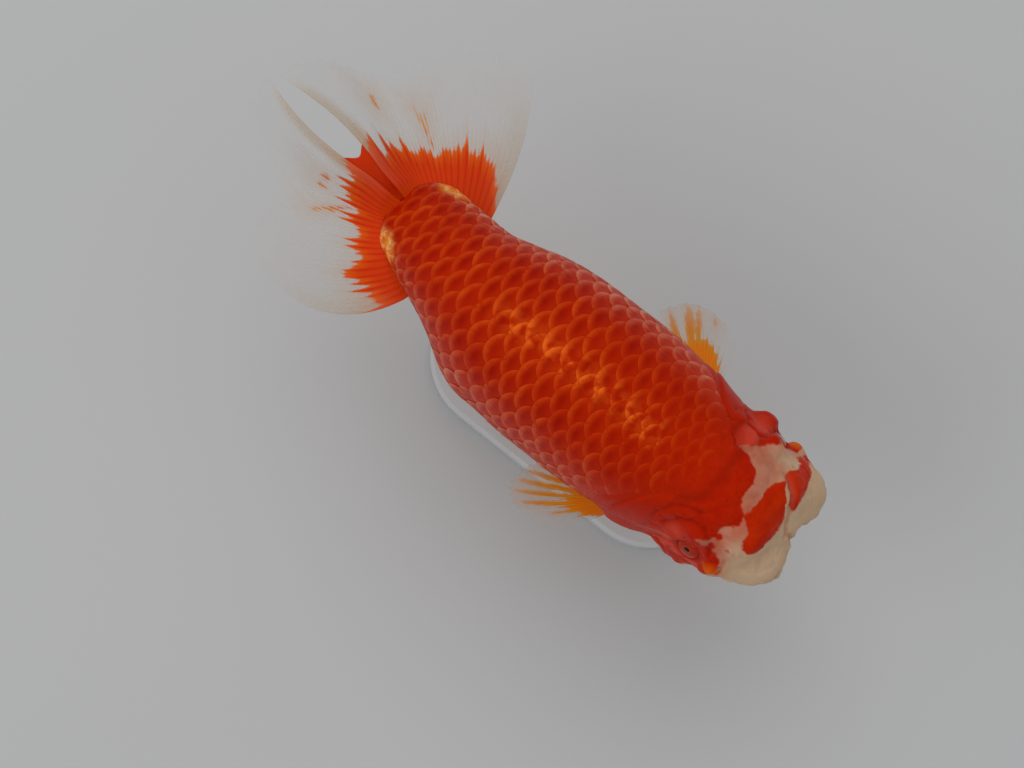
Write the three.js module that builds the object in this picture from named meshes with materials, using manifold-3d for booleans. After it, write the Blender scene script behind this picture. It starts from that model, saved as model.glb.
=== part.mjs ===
// A life-size museum model of a ranchu goldfish, swimming with its tail swung to its left,
// on a plain stand.
//
// Frame: millimetres, +X towards the fish's snout, +Y to its left, +Z up. The origin is the middle of the
// underside of the stand's base. Stations along the fish are distances d behind the tip of the snout, and
// heights w are measured from the fish's own level line, which lies FISH_HEIGHT above the floor.
import * as THREE from "three";
import { mergeVertices } from "three/addons/utils/BufferGeometryUtils.js";
import Module from "manifold-3d";

const wasm = await Module();
wasm.setup();

// ---------------------------------------------------------------- driving dimensions

const BODY_LENGTH = 121; // snout to the end of the tail stalk
const SNOUT_X = 60; // the stand's middle is this far behind the snout
const FISH_HEIGHT = 62; // the level line above the floor
const CUT = 0.3; // width of the thin cuts between neighbouring parts

// The spine is straight to BEND_START, turns left by BEND_ANGLE up to BEND_END and is straight again.
const BEND_START = 76;
const BEND_END = 100;
const BEND_ANGLE = THREE.MathUtils.degToRad(14);

const SNOUT_ROUNDING = 11; // how far back the blunt face takes to reach full size
const SNOUT_BLUNTNESS = 2.4;
const STALK_ROUNDING = 9; // the same at the end of the tail stalk
const STALK_BLUNTNESS = 2;
const SECTION_POWER = 2.2; // 2 is an ellipse; the body is a little fuller than one

// Body outline: [d, half width, level of the widest point, top, bottom].
const BODY_PROFILE = [
  [0, 15.6, -2, 10.5, -14],
  [8, 16.4, -1.5, 14.8, -17],
  [17, 17.1, -1, 18.6, -19.6],
  [27, 17.8, -1, 21, -21.8],
  [37, 19.8, -1.5, 22.6, -23.8],
  [48, 20.9, -2, 24.2, -26.4],
  [60, 20.9, -2.5, 24.8, -28],
  [71, 20.7, -2.5, 23.8, -27.4],
  [80, 19.4, -2, 22, -24.2],
  [88, 16.9, -1, 19.6, -19],
  [95, 14.3, -0.5, 16.6, -14],
  [103, 12.8, -1, 12.8, -11],
  [111, 11.4, -2, 8, -9.8],
  [121, 9.8, -3, 3, -8.6],
];

// Rounded growths and hollows on the skin: where each one sits (station d, angle round the body with
// 0 at the side and 90 on top), its reach over the skin and its height. Those with both sides are made
// left and right, and an angle past 90 is on the right.
const SWELLINGS = [
  { name: "crown of the hood", d: 17, angle: 90, reach: 17, height: 1.6 },
  { name: "brow of the hood", d: 7.5, angle: 62, reach: 8, height: 1.7, both: true },
  { name: "left snout lobe", d: 3.4, angle: 26, reach: 9, height: 2.6 },
  { name: "right snout lobe", d: 1.6, angle: 150, reach: 8.5, height: 3 },
  { name: "hollow beside the right snout lobe", d: 9, angle: 186, reach: 6.5, height: -1.1 },
  { name: "knob before the left eye", d: 11.5, angle: 4, reach: 4.2, height: 1.6 },
  { name: "knob before the right eye", d: 11.5, angle: 176, reach: 4.2, height: 1.1 },
  { name: "left cheek", d: 19.5, angle: -24, reach: 9, height: 2.6 },
  { name: "right cheek", d: 19.5, angle: 204, reach: 9, height: 2.2 },
  { name: "lobe behind the left eye", d: 21.3, angle: 12, reach: 6, height: 1.6 },
  { name: "hollow behind the cheek", d: 27, angle: -6, reach: 5, height: -0.7, both: true },
  { name: "gill cover", d: 32.5, angle: -16, reach: 9, height: 1.3, both: true },
  { name: "eye hollow", d: 17.6, angle: 20, reach: 5.5, height: -1.2, both: true },
  { name: "cleft of the snout", d: 0, angle: 90, reach: 5.5, height: -1.9 },
  { name: "chin", d: 8, angle: -90, reach: 9, height: 0.9 },
  { name: "flank before the tail stalk", d: 83, angle: -10, reach: 11, height: 1.0, both: true },
];

const EYE = { d: 17.6, out: 13.4, level: 4, radius: 4.1, corneaBulge: 0.5 };
const GILL_COVER = { d: 30, level: -3.5, length: 11.5, height: 25, inner: 11.5 };
const HEAD_END = 36.5; // the cut behind the gill covers
const STALK_START = 95; // the cut in front of the tail stalk
const MOUTH = { level: -7.6, width: 8.4, forward: -2.9, lip: 1.5, lipDepth: 3.6, gape: 1.1, bow: 1 };

// Fins. Angles are in degrees: yaw turns a ray from straight back to straight out, pitch lifts it.
const FIN_EDGE = 0.6; // thickness at the margin
const FIN_ROOT = 1.5; // thickness at the root

// The twin tail. Each side is one fan from its inner ray (at the top, by the midline) to its outer
// ray (below).
const TAIL = {
  left: { innerYaw: [-8, -14], innerLength: 46, outerYaw: [74, 38], outerPitch: -9, outerLength: 48 },
  right: { innerYaw: [24, 4], innerLength: 49, outerYaw: [102, 0], outerPitch: -14, outerLength: 45 },
};
const TAIL_ROOT = { d: 109, back: 6, forward: 7.5, out: 6, top: 1.5, drop: 8.5 };
const TAIL_FORK = { at: 0.45, depth: 0.29, width: 0.28 }; // the notch between upper and lower lobe
const TAIL_CORNER = { inner: 0.04, outer: 0.05, sharpness: 7 }; // how much the tips are rounded off
const TAIL_CLEFT = { from: 0.28, gap: 1.3 }; // past this share of its length an inner ray leaves its twin
const TAIL_RIDGE = { width: 0.2, rootPitch: 42, sidePitch: 6, tipPitch: 6, fall: 8 }; // the inner rays rise
const LOBE_CUT = { at: 0.45, width: 0.008 }; // the ray at which the lobes are parted

const PAIRED_FINS = [
  {
    name: "pectoral_fin",
    root: { d: 35, out: 14.5, level: -11, back: 4.5, up: -3 },
    rays: { innerYaw: 12, length: 26, innerLength: 15, outerLength: 16 },
    outerYaw: { left: 86, right: 64 },
    pitch: { left: -22, right: -14 },
    fanPitch: 0,
    curl: 8,
  },
  {
    name: "pelvic_fin",
    root: { d: 52, out: 7, level: -21.5, back: 4, up: -1 },
    rays: { innerYaw: 4, length: 26, innerLength: 15, outerLength: 21 },
    outerYaw: { left: 52, right: 52 },
    pitch: { left: -27, right: -27 },
    fanPitch: 0,
    curl: 10,
  },
  {
    name: "anal_fin",
    root: { d: 85, out: 2.6, level: -15.5, back: 6, up: 3.5 },
    rays: { innerYaw: 2, length: 21, innerLength: 12, outerLength: 20 },
    outerYaw: { left: 10, right: 10 },
    pitch: { left: -17, right: -17 },
    fanPitch: 42, // the anal fins fan out in height instead of sideways
    curl: 6,
  },
];

const STAND = {
  length: 82,
  width: 36,
  thickness: 6,
  bevel: 1,
  rodRadius: 2,
  socket: 5,
  rods: { front: 42, rear: 76 },
};

// ---------------------------------------------------------------- numbers and curves

const clamp = THREE.MathUtils.clamp;
const lerp = THREE.MathUtils.lerp;
const radians = THREE.MathUtils.degToRad;

// A smooth curve through the rows of a table, read at station d (cubic, with the slope of its neighbours).
function readProfile(rows, column, d) {
  const last = rows.length - 1;
  const slope = (i) => {
    const a = rows[Math.max(i - 1, 0)];
    const b = rows[Math.min(i + 1, last)];
    return (b[column] - a[column]) / (b[0] - a[0]);
  };
  let i = 0;
  while (i < last - 1 && d > rows[i + 1][0]) i += 1;
  const span = rows[i + 1][0] - rows[i][0];
  const t = clamp((d - rows[i][0]) / span, 0, 1);
  const [t2, t3] = [t * t, t * t * t];
  return (
    (2 * t3 - 3 * t2 + 1) * rows[i][column] +
    (t3 - 2 * t2 + t) * span * slope(i) +
    (3 * t2 - 2 * t3) * rows[i + 1][column] +
    (t3 - t2) * span * slope(i + 1)
  );
}

// How much of its full size a rounded end has reached at a distance from its tip.
function endRounding(distance, rounding, bluntness) {
  const missing = 1 - clamp(distance / rounding, 0, 1);
  return Math.pow(1 - Math.pow(missing, bluntness), 1 / bluntness);
}

// The spine at station d: its point, and the direction that is to the fish's left there.
function spine(d) {
  const radius = (BEND_END - BEND_START) / BEND_ANGLE;
  const turn = clamp((d - BEND_START) / (BEND_END - BEND_START), 0, 1) * BEND_ANGLE;
  const straight = Math.min(d, BEND_START);
  const beyond = Math.max(d - BEND_END, 0);
  return {
    x: SNOUT_X - straight - radius * Math.sin(turn) - beyond * Math.cos(turn),
    y: radius * (1 - Math.cos(turn)) + beyond * Math.sin(turn),
    left: new THREE.Vector3(Math.sin(turn), Math.cos(turn), 0),
    back: new THREE.Vector3(-Math.cos(turn), Math.sin(turn), 0),
  };
}

// From the fish's own terms (station, distance to the left, level) to the frame.
function place(d, out, level) {
  const s = spine(d);
  return new THREE.Vector3(s.x + s.left.x * out, s.y + s.left.y * out, FISH_HEIGHT + level);
}

// ---------------------------------------------------------------- the body's surface

// A signed power, for the body's full, squarish sections.
const fuller = (value) => Math.sign(value) * Math.pow(Math.abs(value), 2 / SECTION_POWER);

// The smooth body before its swellings. The angle runs from the left side (0) over the back (90 degrees).
function smoothBody(d, angle) {
  const front = endRounding(d, SNOUT_ROUNDING, SNOUT_BLUNTNESS);
  const size = front * endRounding(BODY_LENGTH - d, STALK_ROUNDING, STALK_BLUNTNESS);
  const middle = readProfile(BODY_PROFILE, 2, d);
  const end = readProfile(BODY_PROFILE, Math.sin(angle) > 0 ? 3 : 4, d);
  const out = readProfile(BODY_PROFILE, 1, d) * size * fuller(Math.cos(angle));
  const up = Math.abs(end - middle) * size * fuller(Math.sin(angle));
  return place(d, out, middle + up);
}

function smoothNormal(d, angle) {
  const step = 0.02;
  const [low, high] = [Math.max(d - step, 1e-3), Math.min(d + step, BODY_LENGTH - 1e-3)];
  const along = smoothBody(high, angle).sub(smoothBody(low, angle));
  const round = smoothBody(clamp(d, 1e-3, BODY_LENGTH - 1e-3), angle + step).sub(
    smoothBody(clamp(d, 1e-3, BODY_LENGTH - 1e-3), angle - step),
  );
  return round.cross(along).normalize().negate();
}

const swellings = SWELLINGS.flatMap((s) => {
  const sides = s.both ? [s.angle, 180 - s.angle] : [s.angle];
  return sides.map((angle) => ({ ...s, centre: smoothBody(s.d, radians(angle)) }));
});

// The height of all the swellings at a point of the smooth body.
function swelling(point) {
  return swellings.reduce((sum, s) => {
    const share = 1 - Math.pow(point.distanceTo(s.centre) / s.reach, 2);
    return share > 0 ? sum + s.height * share * share : sum;
  }, 0);
}

// The skin, grown outwards by a distance. Its two poles have no single section, so they use the axis.
function bodyPoint(d, angle, grown) {
  const point = smoothBody(d, angle);
  const height = swelling(point) + grown;
  if (d <= 0) return point.add(new THREE.Vector3(height, 0, 0));
  if (d >= BODY_LENGTH) return point.addScaledVector(spine(d).back, height);
  return point.addScaledVector(smoothNormal(d, angle), height);
}

// ---------------------------------------------------------------- solids

// A closed three.js geometry as a solid: only its positions count, and shared vertices are merged.
function solidOf(geometry) {
  const bare = new THREE.BufferGeometry();
  bare.setAttribute("position", geometry.getAttribute("position"));
  if (geometry.index) bare.setIndex(geometry.index);
  const merged = mergeVertices(bare, 1e-4);
  return new wasm.Manifold(
    new wasm.Mesh({
      numProp: 3,
      vertProperties: merged.getAttribute("position").array,
      triVerts: new Uint32Array(merged.index.array),
    }),
  );
}

function geometryOf(solid) {
  const mesh = solid.getMesh();
  const geometry = new THREE.BufferGeometry();
  geometry.setAttribute("position", new THREE.BufferAttribute(mesh.vertProperties, 3));
  geometry.setIndex(new THREE.BufferAttribute(mesh.triVerts, 1));
  geometry.computeVertexNormals();
  return geometry;
}

// Moves each vertex of a geometry by a rule that is given the vertex and its uv.
function reshape(geometry, rule) {
  const position = geometry.getAttribute("position");
  const uv = geometry.getAttribute("uv");
  const vertex = new THREE.Vector3();
  for (let i = 0; i < position.count; i += 1) {
    vertex.fromBufferAttribute(position, i);
    const moved = rule(vertex, uv.getX(i), uv.getY(i));
    position.setXYZ(i, moved.x, moved.y, moved.z);
  }
  return geometry;
}

// The body as a sphere whose poles are the snout and the end of the tail stalk.
const BODY_SIDES = 28;
const BODY_STATIONS = 42;
const END_CROWDING = 0.5; // 0 spaces the stations evenly, 1 crowds them towards the ends as on a ball

function bodySolid(grown = 0) {
  const sphere = new THREE.SphereGeometry(1, BODY_SIDES, BODY_STATIONS);
  return solidOf(
    reshape(sphere, (vertex, u, v) => {
      const t = 1 - v;
      const station = lerp(t, (1 - Math.cos(Math.PI * t)) / 2, END_CROWDING) * BODY_LENGTH;
      const atPole = v === 0 || v === 1;
      return bodyPoint(station, atPole ? Math.PI / 2 : u * 2 * Math.PI, grown);
    }),
  );
}

// A thin closed sheet: each point of surface(u, v) is thickened along the surface's normal.
function sheetSolid(surface, thickness, across, along) {
  const step = 1e-3;
  const box = new THREE.BoxGeometry(1, 1, 1, across, along, 1);
  return solidOf(
    reshape(box, (vertex) => {
      const u = vertex.x + 0.5;
      const v = vertex.y + 0.5;
      const [u0, u1] = [Math.max(u - step, 0), Math.min(u + step, 1)];
      const [v0, v1] = [Math.max(v - step, 0), Math.min(v + step, 1)];
      const du = surface(u1, v).sub(surface(u0, v));
      const dv = surface(u, v1).sub(surface(u, v0));
      const normal = du.cross(dv).normalize();
      return surface(u, v).addScaledVector(normal, vertex.z * thickness(u, v));
    }),
  );
}

const facingOut = (solid) => {
  if (solid.volume() > 0) return solid;
  const mesh = solid.getMesh();
  const triVerts = new Uint32Array(mesh.triVerts);
  for (let i = 0; i < triVerts.length; i += 3) {
    [triVerts[i + 1], triVerts[i + 2]] = [triVerts[i + 2], triVerts[i + 1]];
  }
  return new wasm.Manifold(new wasm.Mesh({ numProp: 3, vertProperties: mesh.vertProperties, triVerts }));
};

// A slab across the body, CUT thick, whose front face is at station d.
function crossCut(d) {
  const s = spine(d);
  const slab = new THREE.BoxGeometry(CUT, 200, 200);
  slab.rotateZ(Math.atan2(-s.left.x, s.left.y));
  slab.translate(s.x + s.back.x * (CUT / 2), s.y + s.back.y * (CUT / 2), FISH_HEIGHT);
  return solidOf(slab);
}

// ---------------------------------------------------------------- fins

const bell = (x, width) => Math.exp(-Math.pow(x / width, 2));

// Walks along a fin ray from its root, turning evenly from one yaw and pitch to others.
const RAY_STEPS = 6;

function rayPoint(root, basis, length, yaw, pitch, t) {
  const point = root.clone();
  for (let i = 0; i < RAY_STEPS; i += 1) {
    const at = ((i + 0.5) / RAY_STEPS) * t;
    const turn = radians(lerp(yaw[0], yaw[1], at));
    const lift = radians(lerp(pitch[0], pitch[1], at));
    const stride = (length * t) / RAY_STEPS;
    point.addScaledVector(basis.back, stride * Math.cos(lift) * Math.cos(turn));
    point.addScaledVector(basis.out, stride * Math.cos(lift) * Math.sin(turn));
    point.z += stride * Math.sin(lift);
  }
  return point;
}

// One side of the twin tail: u runs from the inner ray to the outer ray, v from root to margin.
function tailSurface(side) {
  const shape = TAIL[side];
  const sign = side === "left" ? 1 : -1;
  const s = spine(TAIL_ROOT.d);
  const basis = { back: s.back, out: s.left.clone().multiplyScalar(sign) };
  return (u, v) => {
    const round = (u * Math.PI) / 2;
    const root = place(TAIL_ROOT.d, 0, 0);
    root.addScaledVector(basis.back, lerp(-TAIL_ROOT.forward, TAIL_ROOT.back, Math.cos(round)));
    root.addScaledVector(basis.out, CUT / 2 + TAIL_ROOT.out * Math.sin(round));
    root.z += TAIL_ROOT.top - TAIL_ROOT.drop * (1 - Math.cos(round));
    const fork = 1 - TAIL_FORK.depth * bell(u - TAIL_FORK.at, TAIL_FORK.width);
    const innerCorner = TAIL_CORNER.inner * Math.pow(1 - u, TAIL_CORNER.sharpness);
    const outerCorner = TAIL_CORNER.outer * Math.pow(u, TAIL_CORNER.sharpness);
    const length = lerp(shape.innerLength, shape.outerLength, u) * fork * (1 - innerCorner - outerCorner);
    const yaw = [0, 1].map((end) => lerp(shape.innerYaw[end], shape.outerYaw[end], u));
    const ridge = bell(u, TAIL_RIDGE.width);
    const pitch = [
      lerp(TAIL_RIDGE.sidePitch, TAIL_RIDGE.rootPitch, ridge) - TAIL_RIDGE.fall * u,
      lerp(shape.outerPitch * u, TAIL_RIDGE.tipPitch, ridge),
    ];
    const parted = clamp((v - TAIL_CLEFT.from) / (1 - TAIL_CLEFT.from), 0, 1);
    const gap = TAIL_CLEFT.gap * Math.sin(Math.PI * parted) * ridge;
    return rayPoint(root, basis, length, yaw, pitch, v).addScaledVector(basis.out, gap);
  };
}

// A paired fin as a fan of rays, rounded at its margin.
function fanSurface(fin, side) {
  const sign = side === "left" ? 1 : -1;
  const { root, rays } = fin;
  const s = spine(root.d);
  const basis = { back: s.back, out: s.left.clone().multiplyScalar(sign) };
  return (u, v) => {
    const start = place(root.d + root.back * (1 - u), sign * root.out, root.level + root.up * (1 - u));
    const edge = lerp(rays.innerLength, rays.outerLength, u);
    const length = edge + (rays.length - edge) * Math.sin(Math.PI * u);
    const turn = lerp(rays.innerYaw, fin.outerYaw[side], u);
    const lift = fin.pitch[side] - fin.fanPitch * u;
    return rayPoint(start, basis, length, [turn, turn - fin.curl], [lift, lift + fin.curl], v);
  };
}

const finThickness = (u, v) => lerp(FIN_ROOT, FIN_EDGE, Math.sqrt(v));

// ---------------------------------------------------------------- eyes, mouth, gill covers

function eyeSolid(side, grown = 0) {
  const sign = side === "left" ? 1 : -1;
  const ball = new THREE.SphereGeometry(EYE.radius + grown, 14, 9);
  const centre = place(EYE.d, sign * EYE.out, EYE.level);
  return solidOf(
    reshape(ball, (vertex) => {
      const outward = Math.max((vertex.y * sign) / EYE.radius, 0);
      vertex.y += sign * EYE.corneaBulge * Math.pow(outward, 6);
      return vertex.add(centre);
    }),
  );
}

// The lips: a ring on the front of the face, flattened to the mouth's width and height.
function mouthSolid(grown = 0) {
  const lip = MOUTH.lip + grown;
  const ring = new THREE.TorusGeometry(1, 0.5, 8, 16);
  return solidOf(
    reshape(ring, (vertex) => {
      const radius = Math.hypot(vertex.x, vertex.y);
      const [sideways, upwards] = [vertex.x / radius, vertex.y / radius];
      return new THREE.Vector3(
        SNOUT_X + MOUTH.forward - MOUTH.bow * sideways * sideways + vertex.z * (MOUTH.lipDepth + grown),
        sideways * ((MOUTH.width - MOUTH.lip) / 2 + (radius - 1) * lip),
        FISH_HEIGHT + MOUTH.level + upwards * (MOUTH.gape + (radius - 1) * lip),
      );
    }),
  );
}

// The gill cover is the outer plate of the head inside an upright oval.
function gillCoverPlug(side, shrunk) {
  const sign = side === "left" ? 1 : -1;
  const depth = 20; // reaches from the inner face to well outside the skin
  const oval = new THREE.Shape();
  oval.absellipse(0, 0, GILL_COVER.length / 2 - shrunk, GILL_COVER.height / 2 - shrunk, 0, 2 * Math.PI);
  const plug = new THREE.ExtrudeGeometry(oval, { depth, bevelEnabled: false, curveSegments: 14 });
  plug.rotateX(Math.PI / 2); // the oval now stands upright and the depth runs towards -Y
  if (sign > 0) plug.translate(0, depth, 0);
  const inner = sign * (GILL_COVER.inner + shrunk);
  const centre = place(GILL_COVER.d, inner, GILL_COVER.level);
  return solidOf(plug.translate(centre.x, centre.y, centre.z));
}

// ---------------------------------------------------------------- the stand

// A flat base with round ends and a small bevel.
function standBase() {
  const half = STAND.width / 2 - STAND.bevel;
  const reach = STAND.length / 2 - STAND.width / 2;
  const outline = new THREE.Shape();
  outline.absarc(reach, 0, half, -Math.PI / 2, Math.PI / 2);
  outline.absarc(-reach, 0, half, Math.PI / 2, (3 * Math.PI) / 2);
  const base = new THREE.ExtrudeGeometry(outline, {
    depth: STAND.thickness - 2 * STAND.bevel,
    bevelEnabled: true,
    bevelSize: STAND.bevel,
    bevelThickness: STAND.bevel,
    bevelSegments: 1,
    curveSegments: 10,
  });
  return solidOf(base.translate(0, 0, STAND.bevel));
}

// A rod from the base up to a socket in the belly, or the socket itself where it is grown.
function rodSolid(d, grown = 0) {
  const top = place(d, 0, readProfile(BODY_PROFILE, 4, d) + STAND.socket).z + grown;
  const bottom = STAND.thickness + CUT - grown;
  const radius = STAND.rodRadius + grown;
  const rod = new THREE.CylinderGeometry(radius, radius, top - bottom, 20);
  rod.rotateX(Math.PI / 2);
  const at = spine(d);
  return solidOf(rod.translate(at.x, at.y, (top + bottom) / 2));
}

// ---------------------------------------------------------------- the parts

const RED_ORANGE = { color: 0xd8400c, roughness: 0.38, metalness: 0 };
const CREAM = { color: 0xe2c9a4, roughness: 0.45, metalness: 0 };
const FIN_ORANGE = { color: 0xe8843a, roughness: 0.4, metalness: 0 };
const EYE_DARK = { color: 0x2a1a10, roughness: 0.12, metalness: 0 };
const STAND_GREY = { color: 0xc9cbcc, roughness: 0.5, metalness: 0 };
const ROD_STEEL = { color: 0xb8babd, roughness: 0.3, metalness: 1 };

const fish = new THREE.Group();

function add(name, solid, look) {
  const mesh = new THREE.Mesh(geometryOf(solid), new THREE.MeshStandardMaterial(look));
  mesh.name = name;
  fish.add(mesh);
}

const SIDES = ["left", "right"];
const grownBody = bodySolid(CUT);
const eyeSockets = SIDES.map((side) => eyeSolid(side, CUT)).reduce((a, b) => a.add(b));
const rods = Object.entries(STAND.rods);

// The body, with its sockets cut, then parted into head, trunk and tail stalk.
let body = bodySolid().subtract(eyeSockets).subtract(mouthSolid(CUT));
for (const [, d] of rods) body = body.subtract(rodSolid(d, CUT));
const pieces = body
  .subtract(crossCut(HEAD_END))
  .subtract(crossCut(STALK_START))
  .decompose()
  .filter((piece) => piece.volume() > 1)
  .sort((a, b) => b.boundingBox().max[0] - a.boundingBox().max[0]);
let [head] = pieces;
const [, trunk, stalk] = pieces;

for (const side of SIDES) {
  add(`gill_cover_${side}`, head.intersect(gillCoverPlug(side, CUT)), RED_ORANGE);
  head = head.subtract(gillCoverPlug(side, 0));
}

// The snout lobes and the hood are parted from the rest of the head by flat cuts.
function halfSpace(corner, size) {
  const box = new THREE.BoxGeometry(...size);
  return solidOf(box.translate(corner[0] + size[0] / 2, corner[1] + size[1] / 2, corner[2] + size[2] / 2));
}
const LOBE = { d: 7.5, level: -3.6 };
const HOOD = { level: 8.2 };
const [lobeX, lobeZ] = [SNOUT_X - LOBE.d, FISH_HEIGHT + LOBE.level];
const hoodZ = FISH_HEIGHT + HOOD.level;
for (const side of SIDES) {
  const y = side === "left" ? CUT / 2 : -CUT / 2 - 60;
  const front = halfSpace([lobeX + CUT, y, lobeZ + CUT], [60, 60, hoodZ - lobeZ - CUT]);
  add(`snout_lobe_${side}`, head.intersect(front), CREAM);
}
head = head.subtract(halfSpace([lobeX, -60, lobeZ], [60, 120, hoodZ - lobeZ + CUT]));
const hoodSpace = halfSpace([-60, -60, hoodZ + CUT], [160, 120, 60]);
add("hood", head.intersect(hoodSpace), RED_ORANGE);
head = head.subtract(halfSpace([-60, -60, hoodZ], [160, 120, 60]));
add("head", head, RED_ORANGE);
add("trunk", trunk, RED_ORANGE);
add("tail_stalk", stalk, RED_ORANGE);
add("mouth", mouthSolid(), CREAM);
for (const side of SIDES) add(`eye_${side}`, eyeSolid(side), EYE_DARK);

// The twin tail, parted into an upper and a lower lobe on each side.
const LOBES = [
  { name: "upper", from: 0, to: LOBE_CUT.at - LOBE_CUT.width / 2 },
  { name: "lower", from: LOBE_CUT.at + LOBE_CUT.width / 2, to: 1 },
];
for (const side of SIDES) {
  const surface = tailSurface(side);
  for (const lobe of LOBES) {
    const part = (u, v) => surface(lerp(lobe.from, lobe.to, u), v);
    const solid = facingOut(sheetSolid(part, finThickness, 8, 10));
    add(`tail_${lobe.name}_${side}`, solid.subtract(grownBody), FIN_ORANGE);
  }
  for (const fin of PAIRED_FINS) {
    const solid = facingOut(sheetSolid(fanSurface(fin, side), finThickness, 7, 7));
    add(`${fin.name}_${side}`, solid.subtract(grownBody), FIN_ORANGE);
  }
}

add("stand_base", standBase(), STAND_GREY);
for (const [name, d] of rods) add(`stand_rod_${name}`, rodSolid(d), ROD_STEEL);

export default fish;
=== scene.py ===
"""Looks of a life-size ranchu goldfish on a plain stand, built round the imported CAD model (Blender 4.5).

The skin, the scales, the fins and the eyes are meshes worked out here by rule and replace the CAD nodes of
flesh; the stand keeps its CAD nodes. Lengths are millimetres until a mesh is made, and then metres.
"""
import itertools
import math

import bpy
import numpy as np
from mathutils import Matrix, Vector


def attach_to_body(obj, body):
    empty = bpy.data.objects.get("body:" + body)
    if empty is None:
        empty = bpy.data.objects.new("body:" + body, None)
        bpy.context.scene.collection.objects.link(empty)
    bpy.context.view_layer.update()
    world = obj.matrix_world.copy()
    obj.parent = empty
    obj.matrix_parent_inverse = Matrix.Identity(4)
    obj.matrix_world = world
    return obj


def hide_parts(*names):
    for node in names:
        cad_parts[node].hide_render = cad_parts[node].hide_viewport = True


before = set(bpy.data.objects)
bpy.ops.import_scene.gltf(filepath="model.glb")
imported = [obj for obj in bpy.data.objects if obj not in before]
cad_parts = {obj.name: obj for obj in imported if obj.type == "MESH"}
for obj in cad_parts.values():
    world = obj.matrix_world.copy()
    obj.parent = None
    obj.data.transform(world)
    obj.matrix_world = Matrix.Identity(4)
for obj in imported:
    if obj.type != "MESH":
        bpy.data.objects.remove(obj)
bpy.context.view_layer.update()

SIGNS = dict(left=1, right=-1)  # the way to each side along the frame's Y
SIDES = tuple(SIGNS)

# ------------------------------------------------------------------ the fish's shape, in millimetres
# The same rules as the CAD model's, so that the skin fits it. Stations d run back from the snout's tip, the
# angle round the body is 0 at the side and 90 degrees on top, and levels are heights over the level line.

MM = 0.001
BODY_LENGTH = 121.0
SNOUT_X = 60.0
FISH_HEIGHT = 62.0
BEND_START = 76.0
BEND_END = 100.0
BEND_ANGLE = math.radians(14)
SNOUT_ROUNDING, SNOUT_BLUNTNESS = 11.0, 2.4
STALK_ROUNDING, STALK_BLUNTNESS = 9.0, 2.0
SECTION_POWER = 2.2

# [d, half width, level of the widest point, top, bottom]
BODY_PROFILE = np.array([
    [0, 15.6, -2, 10.5, -14],
    [8, 16.4, -1.5, 14.8, -17],
    [17, 17.1, -1, 18.6, -19.6],
    [27, 17.8, -1, 21, -21.8],
    [37, 19.8, -1.5, 22.6, -23.8],
    [48, 20.9, -2, 24.2, -26.4],
    [60, 20.9, -2.5, 24.8, -28],
    [71, 20.7, -2.5, 23.8, -27.4],
    [80, 19.4, -2, 22, -24.2],
    [88, 16.9, -1, 19.6, -19],
    [95, 14.3, -0.5, 16.6, -14],
    [103, 12.8, -1, 12.8, -11],
    [111, 11.4, -2, 8, -9.8],
    [121, 9.8, -3, 3, -8.6],
])

# Rounded growths and hollows: (d, angle, reach, height), the angle past 90 degrees being the right side.
BOTH_SIDES = [
    (7.5, 62, 8, 1.7),  # brow of the hood
    (27, -6, 5, -0.7),  # hollow behind the cheek
    (32.5, -16, 9, 1.3),  # gill cover
    (17.6, 20, 5.5, -1.2),  # eye hollow
    (83, -10, 11, 1.0),  # flank before the tail stalk
]
ONE_SIDE = [
    (17, 90, 17, 1.6),  # crown of the hood
    (3.4, 26, 9, 2.6),  # left snout lobe
    (1.6, 150, 8.5, 3.0),  # right snout lobe
    (9, 186, 6.5, -1.1),  # hollow beside the right snout lobe
    (11.5, 4, 4.2, 1.6),  # knob before the left eye
    (11.5, 176, 4.2, 1.1),  # knob before the right eye
    (19.5, -24, 9, 2.6),  # left cheek
    (19.5, 204, 9, 2.2),  # right cheek
    (21.3, 12, 6, 1.6),  # lobe behind the left eye
    (0, 90, 5.5, -1.9),  # cleft of the snout
    (8, -90, 9, 0.9),  # chin
]


def read_profile(column, d):
    """A smooth curve through one column of BODY_PROFILE."""
    x, y = BODY_PROFILE[:, 0], BODY_PROFILE[:, column]
    before, after = np.maximum(np.arange(len(x)) - 1, 0), np.minimum(np.arange(len(x)) + 1, len(x) - 1)
    slope = (y[after] - y[before]) / (x[after] - x[before])
    i = np.clip(np.searchsorted(x, d) - 1, 0, len(x) - 2)
    span = x[i + 1] - x[i]
    t = np.clip((d - x[i]) / span, 0, 1)
    return (
        (2 * t**3 - 3 * t**2 + 1) * y[i]
        + (t**3 - 2 * t**2 + t) * span * slope[i]
        + (3 * t**2 - 2 * t**3) * y[i + 1]
        + (t**3 - t**2) * span * slope[i + 1]
    )


def end_rounding(distance, rounding, bluntness):
    """From 0 at an end of the body to 1 where its rounding is over."""
    missing = 1 - np.clip(distance / rounding, 0, 1)
    return (1 - missing**bluntness) ** (1 / bluntness)


def end_size(d):
    """The body's size at station d, 1 but for its two rounded ends."""
    front = end_rounding(d, SNOUT_ROUNDING, SNOUT_BLUNTNESS)
    return front * end_rounding(BODY_LENGTH - d, STALK_ROUNDING, STALK_BLUNTNESS)


def widest(d):
    """Half the body's width at station d, before its growths."""
    return read_profile(1, d) * end_size(d)


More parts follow.
